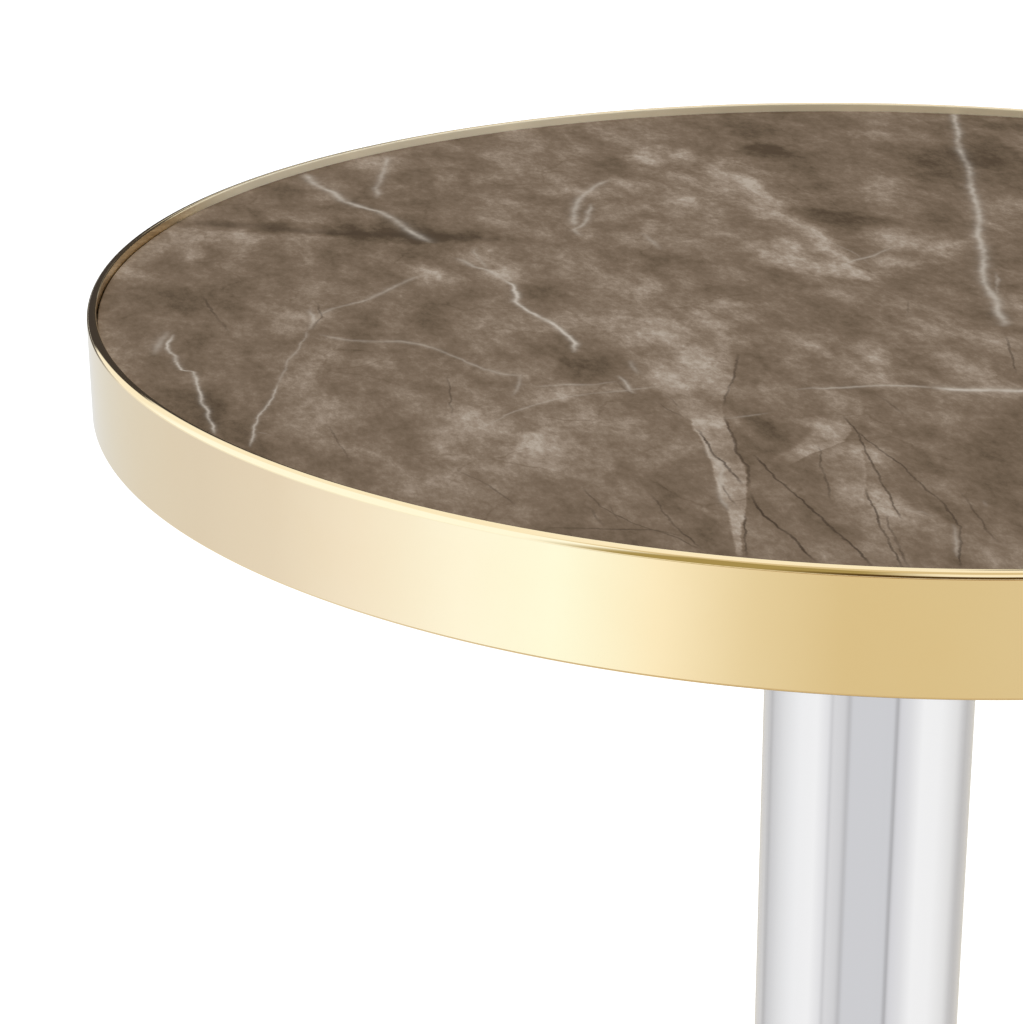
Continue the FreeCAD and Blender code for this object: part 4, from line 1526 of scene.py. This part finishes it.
@dataclass
class Studio:
    """A plain pale floor, soft light from above and a white surrounding, with painted reflections that only metal
    shows and painted bands that only show through the acrylic.
    """

    floor_reach: float = 9.0
    floor_colour: Colour = (0.90, 0.90, 0.90)
    floor_white: float = 1.28
    shadow_share: float = 0.48
    shadow_fades: Pair = (0.18, 0.50)
    fill: float = 0.50
    softbox_size: float = 2.6
    softbox_height: float = 2.3
    softbox_watts: float = 26.0
    # painted reflection: what metal mirrors all round, with patches of other tints
    painted_reflection_tint: Colour = (1.05, 1.05, 1.02)
    patch_edge: float = 0.02
    painted_reflection_patches: tuple[PaintedReflectionPatch, ...] = (
        PaintedReflectionPatch(180.0, 75.0, (0.84, 1.10), 15.0, (0.75, 0.66, 0.47)),
        PaintedReflectionPatch(-95.0, 38.0, (-0.03, 0.80), 8.0, (1.10, 1.22, 1.36)),
        PaintedReflectionPatch(-155.0, 22.0, (0.02, 0.90), 8.0, (0.42, 0.35, 0.15)),
        PaintedReflectionPatch(172.0, 24.0, (0.00, 0.46), 8.0, (0.10, 0.06, 0.02)),
        PaintedReflectionPatch(30.0, 17.0, (-0.05, 0.80), 2.0, (0.060, 0.052, 0.048)),
        PaintedReflectionPatch(3.0, 9.5, (-0.05, 0.345), 1.0, (0.060, 0.052, 0.048)),
        PaintedReflectionPatch(8.0, 15.0, (0.325, 0.430), 2.0, (0.060, 0.052, 0.048)),
        PaintedReflectionPatch(-20.0, 14.5, (-0.05, 0.46), 1.5, (0.057, 0.050, 0.050)),
    )

    def build(self) -> None:
        """Makes the floor, the rings of painted light, the world with its painted reflections, and the lamp."""
        self.floor()
        for painted_ring in (RIM_PAINTED_REFLECTION, FAR_PAINTED_REFLECTION, NEAR_PAINTED_REFLECTION, COLUMN_PAINTED_BANDS):
            painted_ring.build()
        self.world()
        self.softbox()
        bpy.context.scene.view_settings.view_transform = "Standard"

    @staticmethod
    def seen_directly(shader: Shader) -> Wire:
        """1 where the camera sees a thing by itself, in metal or through acrylic, else 0."""
        rays = ("Is Camera Ray", "Is Glossy Ray", "Is Transmission Ray")
        return reduce(Wire.larger, [shader.node("ShaderNodeLightPath", output=ray) for ray in rays])

    def floor(self) -> None:
        """Makes the floor, white to the eye with the table's shadow on it, and clear from below."""
        deselect_all()
        bpy.ops.mesh.primitive_plane_add(size=2 * self.floor_reach, location=(0.0, 0.0, 0.0))
        thing = bpy.context.object
        thing.name = "studio_floor"
        material, shader = new_material("studio_floor")
        matt = shader.node("ShaderNodeBsdfDiffuse", None, {"Color": (*self.floor_colour, 1.0)})
        white = shader.glow((*WHITE, 1.0), self.floor_white)
        radius = shader.from_axis(shader.place())
        amount = self.seen_directly(shader) * radius.smooth(*self.shadow_fades, 1.0 - self.shadow_share, 1.0)
        mix = shader.node("ShaderNodeMixShader", None, {0: amount, 1: matt, 2: white})
        below = shader.node("ShaderNodeNewGeometry", output="Backfacing")
        clear = shader.node("ShaderNodeBsdfTransparent")
        shader.end(shader.node("ShaderNodeMixShader", None, {0: below, 1: mix, 2: clear}))
        thing.data.materials.append(material)

    def world(self) -> None:
        """Makes the world: white to the camera and through acrylic, painted reflections of walls to metal, even light
        for the rest.
        """
        world = bpy.data.worlds.new("studio")
        bpy.context.scene.world = world
        world.use_nodes = True
        shader = Shader(world.node_tree)
        metal = shader.node("ShaderNodeLightPath", output="Is Glossy Ray")
        even = shader.mixed(self.seen_directly(shader), (self.fill,) * 3, WHITE)
        # painted reflections: glossy rays see painted walls instead of the even light
        colour = shader.mixed(metal, even, self.painted_reflections(shader))
        light = shader.node("ShaderNodeBackground", None, {"Color": colour, "Strength": 1.0})
        shader.node("ShaderNodeOutputWorld", None, {"Surface": light})

    def painted_reflections(self, shader: Shader) -> Wire:
        """Painted reflections: the studio's walls and ceiling as only metal mirrors them; they light nothing else.

        Args:
            shader: the world under construction.

        Returns:
            Their colour.
        """
        toward = shader.node("ShaderNodeTexCoord", output="Generated")
        right, ahead, rise = (shader.axis(toward, letter) for letter in "XYZ")
        colour = self.painted_reflection_tint
        edge = self.patch_edge
        for patch in self.painted_reflection_patches:
            sine, cosine = math.sin(math.radians(patch.azimuth)), math.cos(math.radians(patch.azimuth))
            aside = (right * cosine - ahead * sine).bearing(right * sine + ahead * cosine)
            half, soft = math.radians(patch.half_width), math.radians(patch.soft)
            inside = abs(aside).smooth(half - soft, half + soft, 1.0, 0.0)
            low, high = patch.rise
            level = rise.smooth(low - edge, low + edge) * rise.smooth(high - edge, high + edge, 1.0, 0.0)
            colour = shader.mixed(inside * level, colour, patch.tint)
        return colour

    def softbox(self) -> None:
        """Makes the wide lamp over the table."""
        lamp = bpy.data.lights.new("softbox", "AREA")
        lamp.shape = "SQUARE"
        lamp.size = self.softbox_size
        lamp.energy = self.softbox_watts
        thing = bpy.data.objects.new("softbox", lamp)
        thing.location = (0.0, 0.0, self.softbox_height)
        thing.visible_glossy = False
        bpy.context.scene.collection.objects.link(thing)


@dataclass(frozen=True)
class PhotoCamera:
    """The photograph's camera, placed by where it sees the middle of the rim's upper edge.

    Attributes:
        lens_mm: focal length on the sensor below.
        sensor_mm: sensor height.
        pitch: how far it looks down, in degrees.
        roll: how far it is rolled, in degrees.
        seen: the middle of the rim's upper edge to its right, above its axis and ahead of it.
        rim_top: that point's height.
        nearest: how near it sees.
    """

    lens_mm: float = 98.47
    sensor_mm: float = 36.0
    pitch: float = 20.809
    roll: float = -0.413
    seen: Triple = (0.11887, 0.07390, 0.88282)
    rim_top: float = 0.500
    nearest: float = 0.01

    def build(self) -> None:
        """Adds the camera and makes it the scene's."""
        data = bpy.data.cameras.new("photo_camera")
        data.lens = self.lens_mm
        data.sensor_fit = "VERTICAL"
        data.sensor_height = self.sensor_mm
        data.clip_start = self.nearest
        thing = bpy.data.objects.new("photo_camera", data)
        level = Matrix.Rotation(math.radians(RIGHT_ANGLE - self.pitch), 3, "X")
        right, up, back = level.col
        place = Vector((0.0, 0.0, self.rim_top)) - right * self.seen[0] - up * self.seen[1] + back * self.seen[2]
        turned = level @ Matrix.Rotation(math.radians(self.roll), 3, "Z")
        thing.matrix_world = Matrix.Translation(place) @ turned.to_4x4()
        bpy.context.scene.collection.objects.link(thing)
        bpy.context.scene.camera = thing


def main() -> None:
    """Builds the table piece by piece, then its studio and camera."""
    logging.basicConfig(level=logging.INFO, format="%(name)s: %(message)s")
    palette = Palette()
    for assembly in (TrayTop(), Column(), WeightedBase()):
        LOG.info("building %s", type(assembly).__name__)
        assembly.build(palette)
    Studio().build()
    PhotoCamera().build()


if __name__ == "__main__":
    main()
